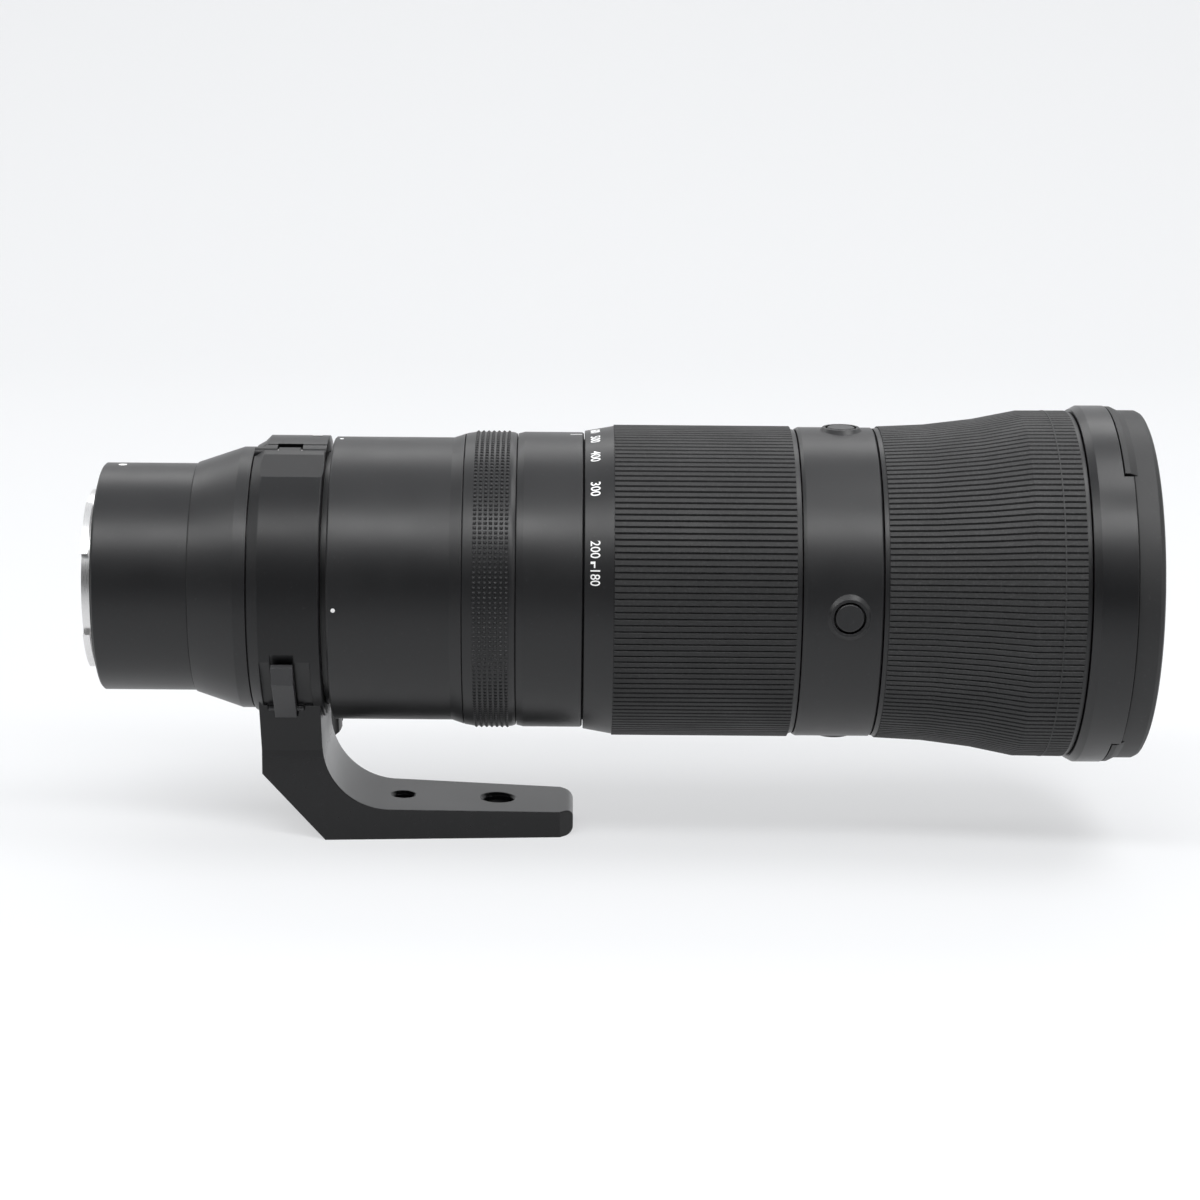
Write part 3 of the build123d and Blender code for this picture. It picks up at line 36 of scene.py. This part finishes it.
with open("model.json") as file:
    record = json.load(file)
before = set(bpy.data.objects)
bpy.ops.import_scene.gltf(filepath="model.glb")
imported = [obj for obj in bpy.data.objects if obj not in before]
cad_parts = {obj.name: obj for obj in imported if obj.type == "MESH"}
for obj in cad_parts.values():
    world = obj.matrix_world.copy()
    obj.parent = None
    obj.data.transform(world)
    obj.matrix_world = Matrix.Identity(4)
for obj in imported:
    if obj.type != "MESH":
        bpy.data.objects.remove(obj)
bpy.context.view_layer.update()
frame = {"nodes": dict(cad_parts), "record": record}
nodes = frame["nodes"]
scene = bpy.context.scene

MM = 0.001
MICRON = 0.000001
X, Y, Z = 0, 1, 2


# Places read from the frame

def low(node, axis):
    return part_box(node)[0][axis]


def high(node, axis):
    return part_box(node)[1][axis]


floor_z = low("collar_foot", Z)
x_track_end = low("mid_barrel", X)
x_index_end = high("index_ring", X)
x_zoom_start = low("zoom_sleeve", X)
x_zoom_grip = low("zoom_grip", X)
index_radius = high("index_ring", Z)
rear_radius = high("rear_barrel", Z)
rim_radius = high("front_rim", Y)
knurl_radius = high("control_ring", Z)

# Radii under the marks, where a piece's box gives only its widest place
mid_radius = 43.3 * MM
cap_radius = 43.66 * MM
band_start_radius = 45.65 * MM
band_end_radius = 47.2 * MM

# The photograph's camera: where it stands, how it is turned and what it takes in
camera_distance = 0.960
camera_elevation = math.radians(13)
camera_x = 0.1406
camera_roll = math.radians(0.46)
focal_pixels = 3126
frame_pixels = 1200
centre_pixel = (564.5, 579.3)
sensor = 36.0
near_clip = 0.01

# Each light's name, place, aim, width, height and watts
lens_middle = (0.15, 0, 0)
front_end = (0.3, 0, 0)
softboxes = (
    ("key_softbox", (0.0, -0.88, 1.24), lens_middle, 3.2, 0.30, 24),
    ("back_softbox", (0.15, 1.0, 1.15), lens_middle, 2.6, 0.5, 10),
    ("front_end_softbox", (0.78, -0.1, 1.3), front_end, 0.6, 0.6, 6),
    ("left_fill", (-1.3, -0.3, 0.7), lens_middle, 0.8, 0.8, 2.5),
    ("right_fill", (1.7, -0.6, 0.5), lens_middle, 0.8, 0.8, 3.5),
)


# Camera, light and stage

def make_camera():
    forward = Vector((0, math.cos(camera_elevation), -math.sin(camera_elevation)))
    right = Vector((1, 0, 0))
    up = right.cross(forward)
    rolled_right = right * math.cos(camera_roll) + up * math.sin(camera_roll)
    rolled_up = up * math.cos(camera_roll) - right * math.sin(camera_roll)
    turn = Matrix((rolled_right, rolled_up, -forward)).transposed().to_4x4()
    place = Vector((camera_x, 0, 0)) - forward * camera_distance
    data = bpy.data.cameras.new("camera")
    data.sensor_width = sensor
    data.lens = focal_pixels * sensor / frame_pixels
    data.shift_x = (frame_pixels / 2 - centre_pixel[0]) / frame_pixels
    data.shift_y = -(frame_pixels / 2 - centre_pixel[1]) / frame_pixels
    data.clip_start = near_clip
    camera = bpy.data.objects.new("camera", data)
    camera.matrix_world = Matrix.Translation(place) @ turn
    scene.collection.objects.link(camera)
    scene.camera = camera


def make_lights():
    for name, place, aim, width, height, power in softboxes:
        data = bpy.data.lights.new(name, "AREA")
        data.shape = "RECTANGLE"
        data.size = width
        data.size_y = height
        data.energy = power
        light = bpy.data.objects.new(name, data)
        direction = Vector(aim) - Vector(place)
        light.rotation_euler = direction.to_track_quat("-Z", "Y").to_euler()
        light.location = place
        scene.collection.objects.link(light)


def make_world():
    """A pale room, dim at the walls and bright overhead. The camera sees it as even white."""
    white, white_strength = (0.90, 0.915, 0.93, 1), 1.0
    room_colour = (0.95, 0.97, 1.0, 1)
    wall_height, ceiling_height = 0.3, 0.95
    wall_strength, ceiling_strength = 0.07, 0.85
    world = bpy.data.worlds.new("studio")
    scene.world = world
    world.use_nodes = True
    tree = world.node_tree
    tree.nodes.clear()
    add, link = tree.nodes.new, tree.links.new
    output = add("ShaderNodeOutputWorld")
    mix = add("ShaderNodeMixShader")
    room = add("ShaderNodeBackground")
    room.inputs["Color"].default_value = room_colour
    backdrop = add("ShaderNodeBackground")
    backdrop.inputs["Color"].default_value = white
    backdrop.inputs["Strength"].default_value = white_strength
    direction = add("ShaderNodeTexCoord")
    parts = add("ShaderNodeSeparateXYZ")
    height = add("ShaderNodeMapRange")
    height.inputs["From Min"].default_value = wall_height
    height.inputs["From Max"].default_value = ceiling_height
    height.inputs["To Min"].default_value = wall_strength
    height.inputs["To Max"].default_value = ceiling_strength
    path = add("ShaderNodeLightPath")
    link(direction.outputs["Generated"], parts.inputs["Vector"])
    link(parts.outputs["Z"], height.inputs["Value"])
    link(height.outputs["Result"], room.inputs["Strength"])
    link(path.outputs["Is Camera Ray"], mix.inputs["Fac"])
    link(room.outputs[0], mix.inputs[1])
    link(backdrop.outputs[0], mix.inputs[2])
    link(mix.outputs[0], output.inputs["Surface"])


def make_stage():
    """A white sheet on the table that runs up behind the lens."""
    half_width = 4.0
    front, middle, back = -4.0, -1.6, 1.5
    bend, bend_steps = 0.6, 12
    top = 2.4
    profile = [(front, floor_z), (middle, floor_z), (back - bend, floor_z)]
    for i in range(1, bend_steps + 1):
        angle = math.pi / 2 * i / bend_steps
        profile.append((back - bend + bend * math.sin(angle),
                        floor_z + bend - bend * math.cos(angle)))
    profile.append((back, top))
    mesh = bpy.data.meshes.new("sheet")
    verts = [(x, y, z) for y, z in profile for x in (-half_width, half_width)]
    faces = [(2 * i, 2 * i + 1, 2 * i + 3, 2 * i + 2) for i in range(len(profile) - 1)]
    mesh.from_pydata(verts, [], faces)
    mesh.polygons.foreach_set("use_smooth", [True] * len(mesh.polygons))
    sheet = bpy.data.objects.new("sheet", mesh)
    scene.collection.objects.link(sheet)
    mesh.materials.append(paper_material())


# Materials

class Maker:
    """A node material with the short calls that the finishes below share."""

    def __init__(self, name):
        self.material = bpy.data.materials.new(name)
        self.material.use_nodes = True
        self.tree = self.material.node_tree
        self.link = self.tree.links.new
        self.shader = self.tree.nodes["Principled BSDF"]
        self.place = self.node("TexCoord").outputs["Object"]
        self.rounded = None

    def node(self, kind, operation=None):
        node = self.tree.nodes.new("ShaderNode" + kind)
        if operation:
            node.operation = operation
        return node

    def set(self, **values):
        """Set the shader's constants. A name has _ where its socket has a space."""
        for name, value in values.items():
            self.shader.inputs[name.replace("_", " ")].default_value = value

    def drive(self, name, source):
        self.link(source, self.shader.inputs[name])

    def along(self, axis):
        """The piece's own place along "X", "Y" or "Z"."""
        parts = self.node("SeparateXYZ")
        self.link(self.place, parts.inputs["Vector"])
        return parts.outputs[axis]

    def noise(self, scale, detail=3.0, stretch=None):
        """Noise over the piece's own place. scale is in features per metre."""
        vector = self.place
        if stretch:
            mapping = self.node("Mapping")
            mapping.inputs["Scale"].default_value = stretch
            self.link(self.place, mapping.inputs["Vector"])
            vector = mapping.outputs["Vector"]
        node = self.node("TexNoise")
        node.inputs["Scale"].default_value = scale
        node.inputs["Detail"].default_value = detail
        self.link(vector, node.inputs["Vector"])
        return node.outputs["Fac"]

    def spread(self, source, start, end, low_value, high_value):
        """Map the part of a signal between start and end onto a range of values."""
        node = self.node("MapRange")
        for name, value in (("From Min", start), ("From Max", end),
                            ("To Min", low_value), ("To Max", high_value)):
            node.inputs[name].default_value = value
        self.link(source, node.inputs["Value"])
        return node.outputs["Result"]

    def vary(self, noise, low_value, high_value):
        """Map a noise onto a range of values. Nearly all of it lies from 0.3 to 0.7."""
        return self.spread(noise, 0.3, 0.7, low_value, high_value)

    def colours(self, source, *stops):
        """Turn a signal into colours. Each stop is (position, colour)."""
        node = self.node("ValToRGB")
        elements = node.color_ramp.elements
        for i, (position, colour) in enumerate(stops):
            if i < 2:
                elements[i].position, elements[i].color = position, (*colour, 1)
            else:
                elements.new(position).color = (*colour, 1)
        self.link(source, node.inputs["Fac"])
        return node.outputs["Color"]

    def mix(self, share, first, second):
        """Blend two colours by a 0 to 1 signal. second is a plain colour."""
        node = self.node("Mix")
        node.data_type = "RGBA"
        # The colour sockets share their names with the node's other sockets
        first_socket, second_socket, result = node.inputs[6], node.inputs[7], node.outputs[2]
        self.link(share, node.inputs["Factor"])
        self.link(first, first_socket)
        second_socket.default_value = (*second, 1)
        return result

    def combine(self, operation, first, second):
        """Join a signal with a second one or with a number."""
        node = self.node("Math", operation)
        self.link(first, node.inputs[0])
        if isinstance(second, float):
            node.inputs[1].default_value = second
        else:
            self.link(second, node.inputs[1])
        return node.outputs[0]

    def round_edges(self, radius):
        """Soften the hard edges, and give a signal that is 1 along them and 0 elsewhere."""
        soft = self.node("Bevel")
        soft.samples = 4
        soft.inputs["Radius"].default_value = radius
        self.rounded = soft.outputs["Normal"]
        plain = self.node("NewGeometry")
        cosine = self.node("VectorMath", "DOT_PRODUCT")
        self.link(self.rounded, cosine.inputs[0])
        self.link(plain.outputs["Normal"], cosine.inputs[1])
        cosine_on_face, cosine_on_edge = 0.99, 0.9
        return self.spread(cosine.outputs["Value"], cosine_on_face, cosine_on_edge, 0.0, 1.0)

    def bump(self, source, depth):
        node = self.node("Bump")
        node.inputs["Strength"].default_value = 1.0
        node.inputs["Distance"].default_value = depth
        if self.rounded:
            self.link(self.rounded, node.inputs["Normal"])
        self.link(source, node.inputs["Height"])
        self.drive("Normal", node.outputs["Normal"])


def shade(colour, factor):
    """A darker or paler tone of a colour."""
    return tuple(min(1, c * factor) for c in colour)


def paper_material():
    """White paper. What the camera, mirrors and glass see of it is lifted towards white."""
    lift = 0.545
    unlifted_y, lifted_y = -0.42, -0.05
    m = Maker("paper")
    m.set(Base_Color=(0.33, 0.334, 0.34, 1), Roughness=0.9, Specular_IOR_Level=0.1,
          Emission_Color=(0.985, 0.99, 1.0, 1))
    rays = m.node("LightPath").outputs
    # The near side of the lens mirrors the paper in front of it, which isn't lifted
    mirrored = m.combine("MULTIPLY", m.spread(m.along("Y"), unlifted_y, lifted_y, 0.0, 1.0),
                         rays["Is Glossy Ray"])
    seen = m.combine("MAXIMUM", rays["Is Camera Ray"], mirrored)
    seen = m.combine("MAXIMUM", seen, rays["Is Transmission Ray"])
    m.drive("Emission Strength", m.combine("MULTIPLY", seen, lift))
    return m.material


def black_paint(name, colour, roughness, grain, depth, edge=0.35 * MM, specular=0.5,
                smoother_below=None):
    """Satin paint: a fine grain, patches of gloss, a little dust, and rounded edges that are
    paler, partly from wear and partly as a painted highlight.

    grain is in features per metre, and depth and edge are in metres.
    """
    m = Maker(name)
    m.set(Specular_IOR_Level=specular)
    edges = m.round_edges(edge)
    gloss = m.vary(m.noise(45, 4), roughness - 0.035, roughness + 0.045)
    if smoother_below:
        # Roughness is whole at and above high_z, and this share of it at and below low_z
        high_z, low_z, share = smoother_below
        gloss = m.combine("MULTIPLY", gloss, m.spread(m.along("Z"), high_z, low_z, 1.0, share))
    m.drive("Roughness", gloss)
    dusty = m.colours(m.noise(900, 2), (0.55, shade(colour, 0.9)), (0.82, shade(colour, 1.9)),
                      (0.68, colour))
    # Edges are made paler in patches: partly paint worn off, partly a painted highlight along
    # them
    wear_and_painted_highlight = m.combine("MULTIPLY", edges, m.spread(m.noise(260, 3), 0.42, 0.62, 0.1, 0.8))
    m.drive("Base Color", m.mix(wear_and_painted_highlight, dusty, shade(colour, 3.5)))
    m.bump(m.noise(grain, 4), depth)
    return m.material


def turned_metal(name, colour, roughness):
    """Bright metal with fine rings left by the lathe."""
    m = Maker(name)
    m.set(Metallic=1.0)
    rings = m.noise(300, 2, (40, 1, 1))
    m.drive("Roughness", m.vary(rings, roughness - 0.05, roughness + 0.08))
    m.drive("Base Color", m.colours(rings, (0.3, colour), (0.7, shade(colour, 1.06))))
    m.bump(rings, 4 * MICRON)
    return m.material


def black_rubber(name, colour):
    """Matt rubber with a fine grain and pale dust."""
    m = Maker(name)
    m.drive("Roughness", m.vary(m.noise(60, 4), 0.56, 0.68))
    dust = m.noise(1500, 3)
    m.drive("Base Color", m.colours(dust, (0.5, colour), (0.8, shade(colour, 2.2))))
    m.bump(m.noise(6000, 3), 10 * MICRON)
    return m.material


def coated_glass():
    """Clear glass with a thin coating that tints what it mirrors."""
    m = Maker("coated_glass")
    m.set(Base_Color=(0.93, 0.97, 0.96, 1), IOR=1.55, Specular_IOR_Level=0.22,
          Transmission_Weight=1.0, Thin_Film_Thickness=390.0, Thin_Film_IOR=1.38)
    m.drive("Roughness", m.spread(m.noise(25, 3), 0.5, 0.8, 0.0, 0.006))
    return m.material


def plain_finish(name, colour, roughness, grain=2500, depth=8 * MICRON):
    """One colour in slightly uneven patches, over a fine grain."""
    m = Maker(name)
    patches = m.noise(80, 3)
    m.drive("Roughness", m.vary(patches, roughness - 0.04, roughness + 0.04))
    m.drive("Base Color", m.colours(patches, (0.35, colour), (0.75, shade(colour, 1.25))))
    m.bump(m.noise(grain, 3), depth)
    return m.material


def circuit_board():
    """Green solder mask with paler copper tracks."""
    m = Maker("circuit_board")
    m.set(Roughness=0.35)
    tracks = m.noise(260, 0, (1, 6, 1))
    m.drive("Base Color", m.colours(
        tracks, (0.47, (0.008, 0.06, 0.03)), (0.53, (0.02, 0.13, 0.06))))
    m.bump(tracks, 20 * MICRON)
    return m.material


paint = (0.0085, 0.0085, 0.0093)
finishes = {
    "barrel_metal": black_paint("barrel_paint", paint, 0.37, 3200, 12 * MICRON),
    "foot_metal": black_paint("foot_paint", paint, 0.36, 3200, 7 * MICRON, edge=0.5 * MM,
                              specular=0.34, smoother_below=(-46 * MM, -54 * MM, 0.65)),
    # The latch's paint is paler than the barrel's, a painted highlight for the light its pad
    # catches
    "latch_metal_painted_highlight": black_paint("latch_paint_painted_highlight", (0.034, 0.034, 0.036), 0.34, 3200, 8 * MICRON),
    "ring_metal": black_paint("ring_paint", paint, 0.31, 3200, 10 * MICRON),
    "rim_plastic": black_paint("rim_plastic", (0.016, 0.016, 0.0165), 0.52, 2600, 14 * MICRON),
    "inner_metal": black_paint("inner_black", (0.012, 0.012, 0.013), 0.6, 2500, 20 * MICRON),
    "mount_metal": turned_metal("mount_metal", (0.72, 0.715, 0.71), 0.3),
    "screw_steel": turned_metal("screw_steel", (0.62, 0.61, 0.6), 0.25),
    "blade_steel": turned_metal("blade_steel", (0.05, 0.05, 0.055), 0.4),
    "rubber_grip": black_rubber("rubber_grip", (0.021, 0.021, 0.0215)),
    "zoom_rubber": black_rubber("zoom_rubber", (0.0145, 0.0145, 0.015)),
    "seal_rubber": plain_finish("seal_rubber", (0.012, 0.012, 0.012), 0.5),
    "black_plastic": black_paint("black_plastic", (0.015, 0.015, 0.016), 0.36, 2800,
                                 10 * MICRON),
    "contact_gold": turned_metal("contact_gold", (0.86, 0.62, 0.25), 0.22),
    "coated_glass": coated_glass(),
    "motor_steel": turned_metal("motor_steel", (0.5, 0.5, 0.5), 0.3),
    "board_green": circuit_board(),
    "white_ink": plain_finish("white_ink", (0.86, 0.86, 0.85), 0.5, 3000, 4 * MICRON),
    # Flat black for the rings of painted shade in the joint and the groove
    "painted_shade_black": plain_finish("painted_shade_black", (0.006, 0.006, 0.006), 0.7),
}

# Pieces whose finish differs from that of the rest of their slot
own_coats = {
    "collar_foot": "foot_metal",
    "latch_lever": "latch_metal_painted_highlight",
    "front_ring": "ring_metal",
    "front_rim": "rim_plastic",
    "zoom_grip": "zoom_rubber",
}

for entry in frame["record"]["subparts"]:
    materials = nodes[entry["node"]].data.materials
    materials.clear()
    materials.append(finishes[own_coats.get(entry["node"], entry["material_slot"])])


# Mesh helpers

def ring_point(x, radius, degrees):
    angle = math.radians(degrees)
    return Vector((x, radius * math.cos(angle), radius * math.sin(angle)))


def add_piece(name, mesh, finish, body, weld=None):
    """Put a mesh in the scene as a piece that rides a body. weld joins points that near."""
    shape = bmesh.new()
    shape.from_mesh(mesh)
    if weld:
        bmesh.ops.remove_doubles(shape, verts=shape.verts, dist=weld)
    bmesh.ops.recalc_face_normals(shape, faces=shape.faces)
    shape.to_mesh(mesh)
    shape.free()
    piece = bpy.data.objects.new(name, mesh)
    scene.collection.objects.link(piece)
    mesh.materials.clear()
    mesh.materials.append(finishes[finish])
    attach(piece, body)
    return piece


def make_piece(name, verts, faces, finish, body):
    mesh = bpy.data.meshes.new(name)
    mesh.from_pydata([tuple(v) for v in verts], [], faces)
    return add_piece(name, mesh, finish, body)


def closed_ring_faces(steps, count):
    """Faces between copies of a closed outline of count points, turned round in steps."""
    faces = []
    for i in range(steps):
        a, b = i * count, (i + 1) % steps * count
        for k in range(count):
            n = (k + 1) % count
            faces.append((a + k, a + n, b + n, b + k))
    return faces


def turned_ring(name, outline, finish, body):
    """A closed outline of (x, radius) points turned all the way round the lens axis."""
    steps = 192
    verts = [ring_point(x, r, 360 * i / steps) for i in range(steps) for x, r in outline]
    make_piece(name, verts, closed_ring_faces(steps, len(outline)), finish, body)


def curve_mesh(curve):
    """The plain mesh of a curve or text."""
    holder = bpy.data.objects.new("holder", curve)
    scene.collection.objects.link(holder)
    bpy.context.view_layer.update()
    mesh = bpy.data.meshes.new_from_object(holder.evaluated_get(
        bpy.context.evaluated_depsgraph_get()))
    bpy.data.objects.remove(holder)
    return mesh


# Marks. The record has no slot of its own for ink.

ink_depth = 0.06 * MM
number_height = 2.85 * MM
number_squeeze = 0.88
number_half_depth = 0.05 * MM
number_foot = x_zoom_start + 1.7 * MM
zoom_numbers = (("600", 89.6), ("500", 100.6), ("400", 114.2), ("300", 131.5),
                ("200", 156), ("180", 166.1))


def ink(name, corners, body):
    """A thin plate of ink over a list of (x, radius, degrees) corners."""
    top = [ring_point(x, r + ink_depth / 2, a) for x, r, a in corners]
    bottom = [ring_point(x, r - ink_depth / 2, a) for x, r, a in corners]
    n = len(corners)
    faces = [tuple(range(n)), tuple(range(2 * n - 1, n - 1, -1))]
    faces += [(i, (i + 1) % n, n + (i + 1) % n, n + i) for i in range(n)]
    make_piece(name, top + bottom, faces, "white_ink", body)


def dot(name, x, radius, degrees, size, body):
    steps = 24
    corners = []
    for i in range(steps):
        turn = 2 * math.pi * i / steps
        corners.append((x + size / 2 * math.cos(turn), radius,
                        degrees + math.degrees(size / 2 * math.sin(turn) / radius)))
    ink(name, corners, body)


def line(name, x_a, x_b, radius_a, radius_b, degrees, width, body):
    half = math.degrees(width / 2 / radius_a)
    corners = ((x_a, radius_a, degrees - half), (x_b, radius_b, degrees - half),
               (x_b, radius_b, degrees + half), (x_a, radius_a, degrees + half))
    ink(name, corners, body)


def band_radius(x):
    """The number band's radius at a place along it."""
    share = (x - x_zoom_start) / (x_zoom_grip - x_zoom_start)
    return band_start_radius + share * (band_end_radius - band_start_radius)


def zoom_number(text, degrees):
    """A number on the zoom ring, read from above with its top towards the front."""
    curve = bpy.data.curves.new("number", "FONT")
    curve.body = text
    curve.align_x = "CENTER"
    curve.align_y = "BOTTOM_BASELINE"
    curve.extrude = 1.0
    curve.offset = 0.006
    curve.resolution_u = 4
    mesh = curve_mesh(curve)
    scale = number_height / max(v.co.y for v in mesh.vertices)
    for v in mesh.vertices:
        x = number_foot + v.co.y * scale
        radius = band_radius(x) + (number_half_depth if v.co.z > 0 else -number_half_depth)
        across = v.co.x * scale * number_squeeze
        v.co = ring_point(x, radius, degrees + math.degrees(across / radius))
    add_piece(f"zoom_number_{text}", mesh, "white_ink", "zoom_ring", 0.001 * MM)


def make_marks():
    dot("mount_dot", 5.8 * MM, rear_radius, 90, 2.6 * MM, "barrel")
    for i in range(4):
        dot(f"barrel_dot_{i}", x_track_end + 2.2 * MM, mid_radius, 90 * i, 1.3 * MM, "barrel")
    line("collar_index", 63.4 * MM, 66.4 * MM, cap_radius, cap_radius, 84, 0.6 * MM,
         "collar_cap")
    line("zoom_index", x_index_end - 4.1 * MM, x_index_end - 0.6 * MM,
         index_radius, index_radius, 90, 0.55 * MM, "barrel")
    for text, degrees in zoom_numbers:
        zoom_number(text, degrees)
    # The bent tick between 200 and 180
    tick_degrees, tail_degrees = 160.9, 162.8
    tick_end = x_zoom_start + 3.1 * MM
    tail_start = tick_end - 0.45 * MM
    line("zoom_tick", number_foot, tick_end, band_radius(number_foot), band_radius(tick_end),
         tick_degrees, 0.75 * MM, "zoom_ring")
    ink("zoom_tick_tail", [(x, band_radius(x), degrees) for x, degrees in (
        (tail_start, tick_degrees), (tick_end, tick_degrees),
        (tick_end, tail_degrees), (tail_start, tail_degrees))], "zoom_ring")


# Fine shapes that the solids leave to this script

def make_knurl():
    """Rows of small blunt points round the control ring."""
    around_count, rows = 190, 7
    pitch = 1.58 * MM
    start = low("control_ring", X) + 2.7 * MM
    step = 360 / around_count
    # A point's width, as a share of the pitch, at three heights over the ring
    levels = ((0.68, -0.05 * MM), (0.4, 0.26 * MM), (0.1, 0.42 * MM))
    corners = ((-1, -1), (1, -1), (1, 1), (-1, 1))
    verts, faces = [], []
    for row in range(rows):
        x = start + (row + 0.5) * pitch
        for i in range(around_count):
            angle = i * step
            base = len(verts)
            for size, rise in levels:
                half_x, half_a = size * pitch / 2, size * step / 2
                for sx, sa in corners:
                    verts.append(ring_point(x + sx * half_x, knurl_radius + rise,
                                            angle + sa * half_a))
            foot, tip = base, len(verts) - 4
            faces.append((tip, tip + 1, tip + 2, tip + 3))
            faces.append((foot + 3, foot + 2, foot + 1, foot))
            for ring in range(foot, tip, 4):
                for k in range(4):
                    n = (k + 1) % 4
                    faces.append((ring + k, ring + n, ring + 4 + n, ring + 4 + k))
    make_piece("knurl", verts, faces, "barrel_metal", "control_ring")


def make_thread(mount, pitch, depth, body, steps):
    """Rings of thread inside a tapped hole, placed by its record entry."""
    axis = Vector(mount["axis"])
    radius = mount["dims"]["r_mm"] * MM
    wall_radius = radius + 0.1 * MM
    length = mount["dims"]["length_mm"] * MM
    # The entry's place is the middle of the hole's wall
    mouth = Vector(mount["pos_m"]) + axis * length / 2
    side = axis.orthogonal().normalized()
    other = axis.cross(side)
    turns = int(length / pitch) - 1
    outline = []
    for i in range(turns):
        outline.append((pitch * (i + 0.5), radius))
        outline.append((pitch * (i + 1), radius - depth))
    outline.append((pitch * (turns + 0.5), radius))
    outline.append((pitch * (turns + 0.5), wall_radius))
    outline.append((pitch * 0.5, wall_radius))
    verts = []
    for i in range(steps):
        turn = 2 * math.pi * i / steps
        spoke = side * math.cos(turn) + other * math.sin(turn)
        verts += [mouth - axis * d + spoke * r for d, r in outline]
    make_piece(f"thread_{mount['name']}", verts, closed_ring_faces(steps, len(outline)),
               "barrel_metal", body)


def make_threads():
    mounts = {m["name"]: m for m in frame["record"]["mounts"]}
    for name, pitch, depth, body, steps in (
            ("filter_thread", 1.0 * MM, 0.45 * MM, "barrel", 96),
            ("tripod_socket_quarter", 1.27 * MM, 0.5 * MM, "collar", 40),
            ("tripod_socket_three_eighths", 1.5875 * MM, 0.6 * MM, "collar", 40)):
        make_thread(mounts[name], pitch, depth, body, steps)


def circle_points(radius, steps):
    angles = [2 * math.pi * i / steps for i in range(steps)]
    return [(radius * math.cos(angle), radius * math.sin(angle)) for angle in angles]


def screw_head_mesh(radius, depth, arm, half):
    """A round plate with a cross cut through it, arms of length arm and width 2 * half."""
    cross = [(arm, half), (half, half), (half, arm), (-half, arm), (-half, half), (-arm, half),
             (-arm, -half), (-half, -half), (-half, -arm), (half, -arm), (half, -half),
             (arm, -half)]
    curve = bpy.data.curves.new("screw_head", "CURVE")
    curve.dimensions = "2D"
    curve.fill_mode = "BOTH"
    curve.extrude = depth / 2
    for points in (circle_points(radius, 32), cross):
        spline = curve.splines.new("POLY")
        spline.points.add(len(points) - 1)
        for point, (a, b) in zip(spline.points, points):
            point.co = (a, b, 0, 1)
        spline.use_cyclic_u = True
    return curve_mesh(curve)


def make_mount_screws():
    """The four mount screws, with cross slots in their heads."""
    head_radius, head_depth, slot_depth = 1.7 * MM, 1.2 * MM, 0.7 * MM
    shank_radius = 1.0 * MM
    steps = 24
    length = high("mount_screws", X)
    circle = high("mount_screws", Z) - head_radius
    head = screw_head_mesh(head_radius - 0.1 * MM, slot_depth, 1.05 * MM, 0.19 * MM)
    # Depth and radius of the body under the slot's plate
    levels = ((slot_depth * 0.98, head_radius - 0.5 * MM), (head_depth, shank_radius),
              (length, shank_radius))
    verts, faces = [], []
    for turn in range(4):
        angle = 90 * (turn + 1)
        outward = ring_point(0, 1, angle)
        sideways = ring_point(0, 1, angle + 90)
        centre = outward * circle
        base = len(verts)
        for v in head.vertices:
            verts.append(centre + outward * v.co.x + sideways * v.co.y
                         + Vector((slot_depth / 2 - v.co.z, 0, 0)))
        faces += [tuple(base + i for i in p.vertices) for p in head.polygons]
        base = len(verts)
        for depth, radius in levels:
            for a, b in circle_points(radius, steps):
                verts.append(centre + outward * a + sideways * b + Vector((depth, 0, 0)))
        end = len(verts)
        faces.append(tuple(range(base, base + steps)))
        faces.append(tuple(range(end - 1, end - 1 - steps, -1)))
        for row in range(base, end - steps, steps):
            for i in range(steps):
                n = (i + 1) % steps
                faces.append((row + i, row + n, row + steps + n, row + steps + i))
    piece = make_piece("mount_screw_set", verts, faces, "screw_steel", "barrel")
    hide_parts("mount_screws")


# A black ring put in a joint or groove as painted shade
def painted_shade_ring(name, x_a, x_b, inner, outer):
    outline = ((x_a, inner), (x_a, outer), (x_b, outer), (x_b, inner))
    turned_ring(name, outline, "painted_shade_black", "barrel")


def make_seams():
    """Painted shade: black rings in the joint where the rear barrel meets the cone and in the
    groove where the front ring meets the rim.
    """
    x = high("rear_barrel", X)
    painted_shade_ring("cone_seam_painted_shade", x - 0.3 * MM, x, rear_radius - 0.4 * MM, rear_radius + 0.02 * MM)
    x = high("front_ring", X)
    outer = rim_radius - 0.25 * MM
    painted_shade_ring("rim_seam_painted_shade", x, x + 0.5 * MM, outer - 0.6 * MM, outer)


def make_focus_seam():
    """The fine raised line across the focus grip's ribs, near their front end."""
    x, width, slope = 286.0 * MM, 0.5 * MM, 0.1 * MM
    radius = high("focus_grip", Z)
    root, crest = radius - 0.8 * MM, radius + 0.06 * MM
    outline = ((x, root), (x + slope, crest), (x + width, crest), (x + width + slope, root))
    turned_ring("focus_seam", outline, "rubber_grip", "focus_ring")


make_camera()
make_world()
make_lights()
make_stage()
make_marks()
make_knurl()
make_threads()
make_focus_seam()
make_mount_screws()
make_seams()

scene.view_settings.view_transform = "Standard"
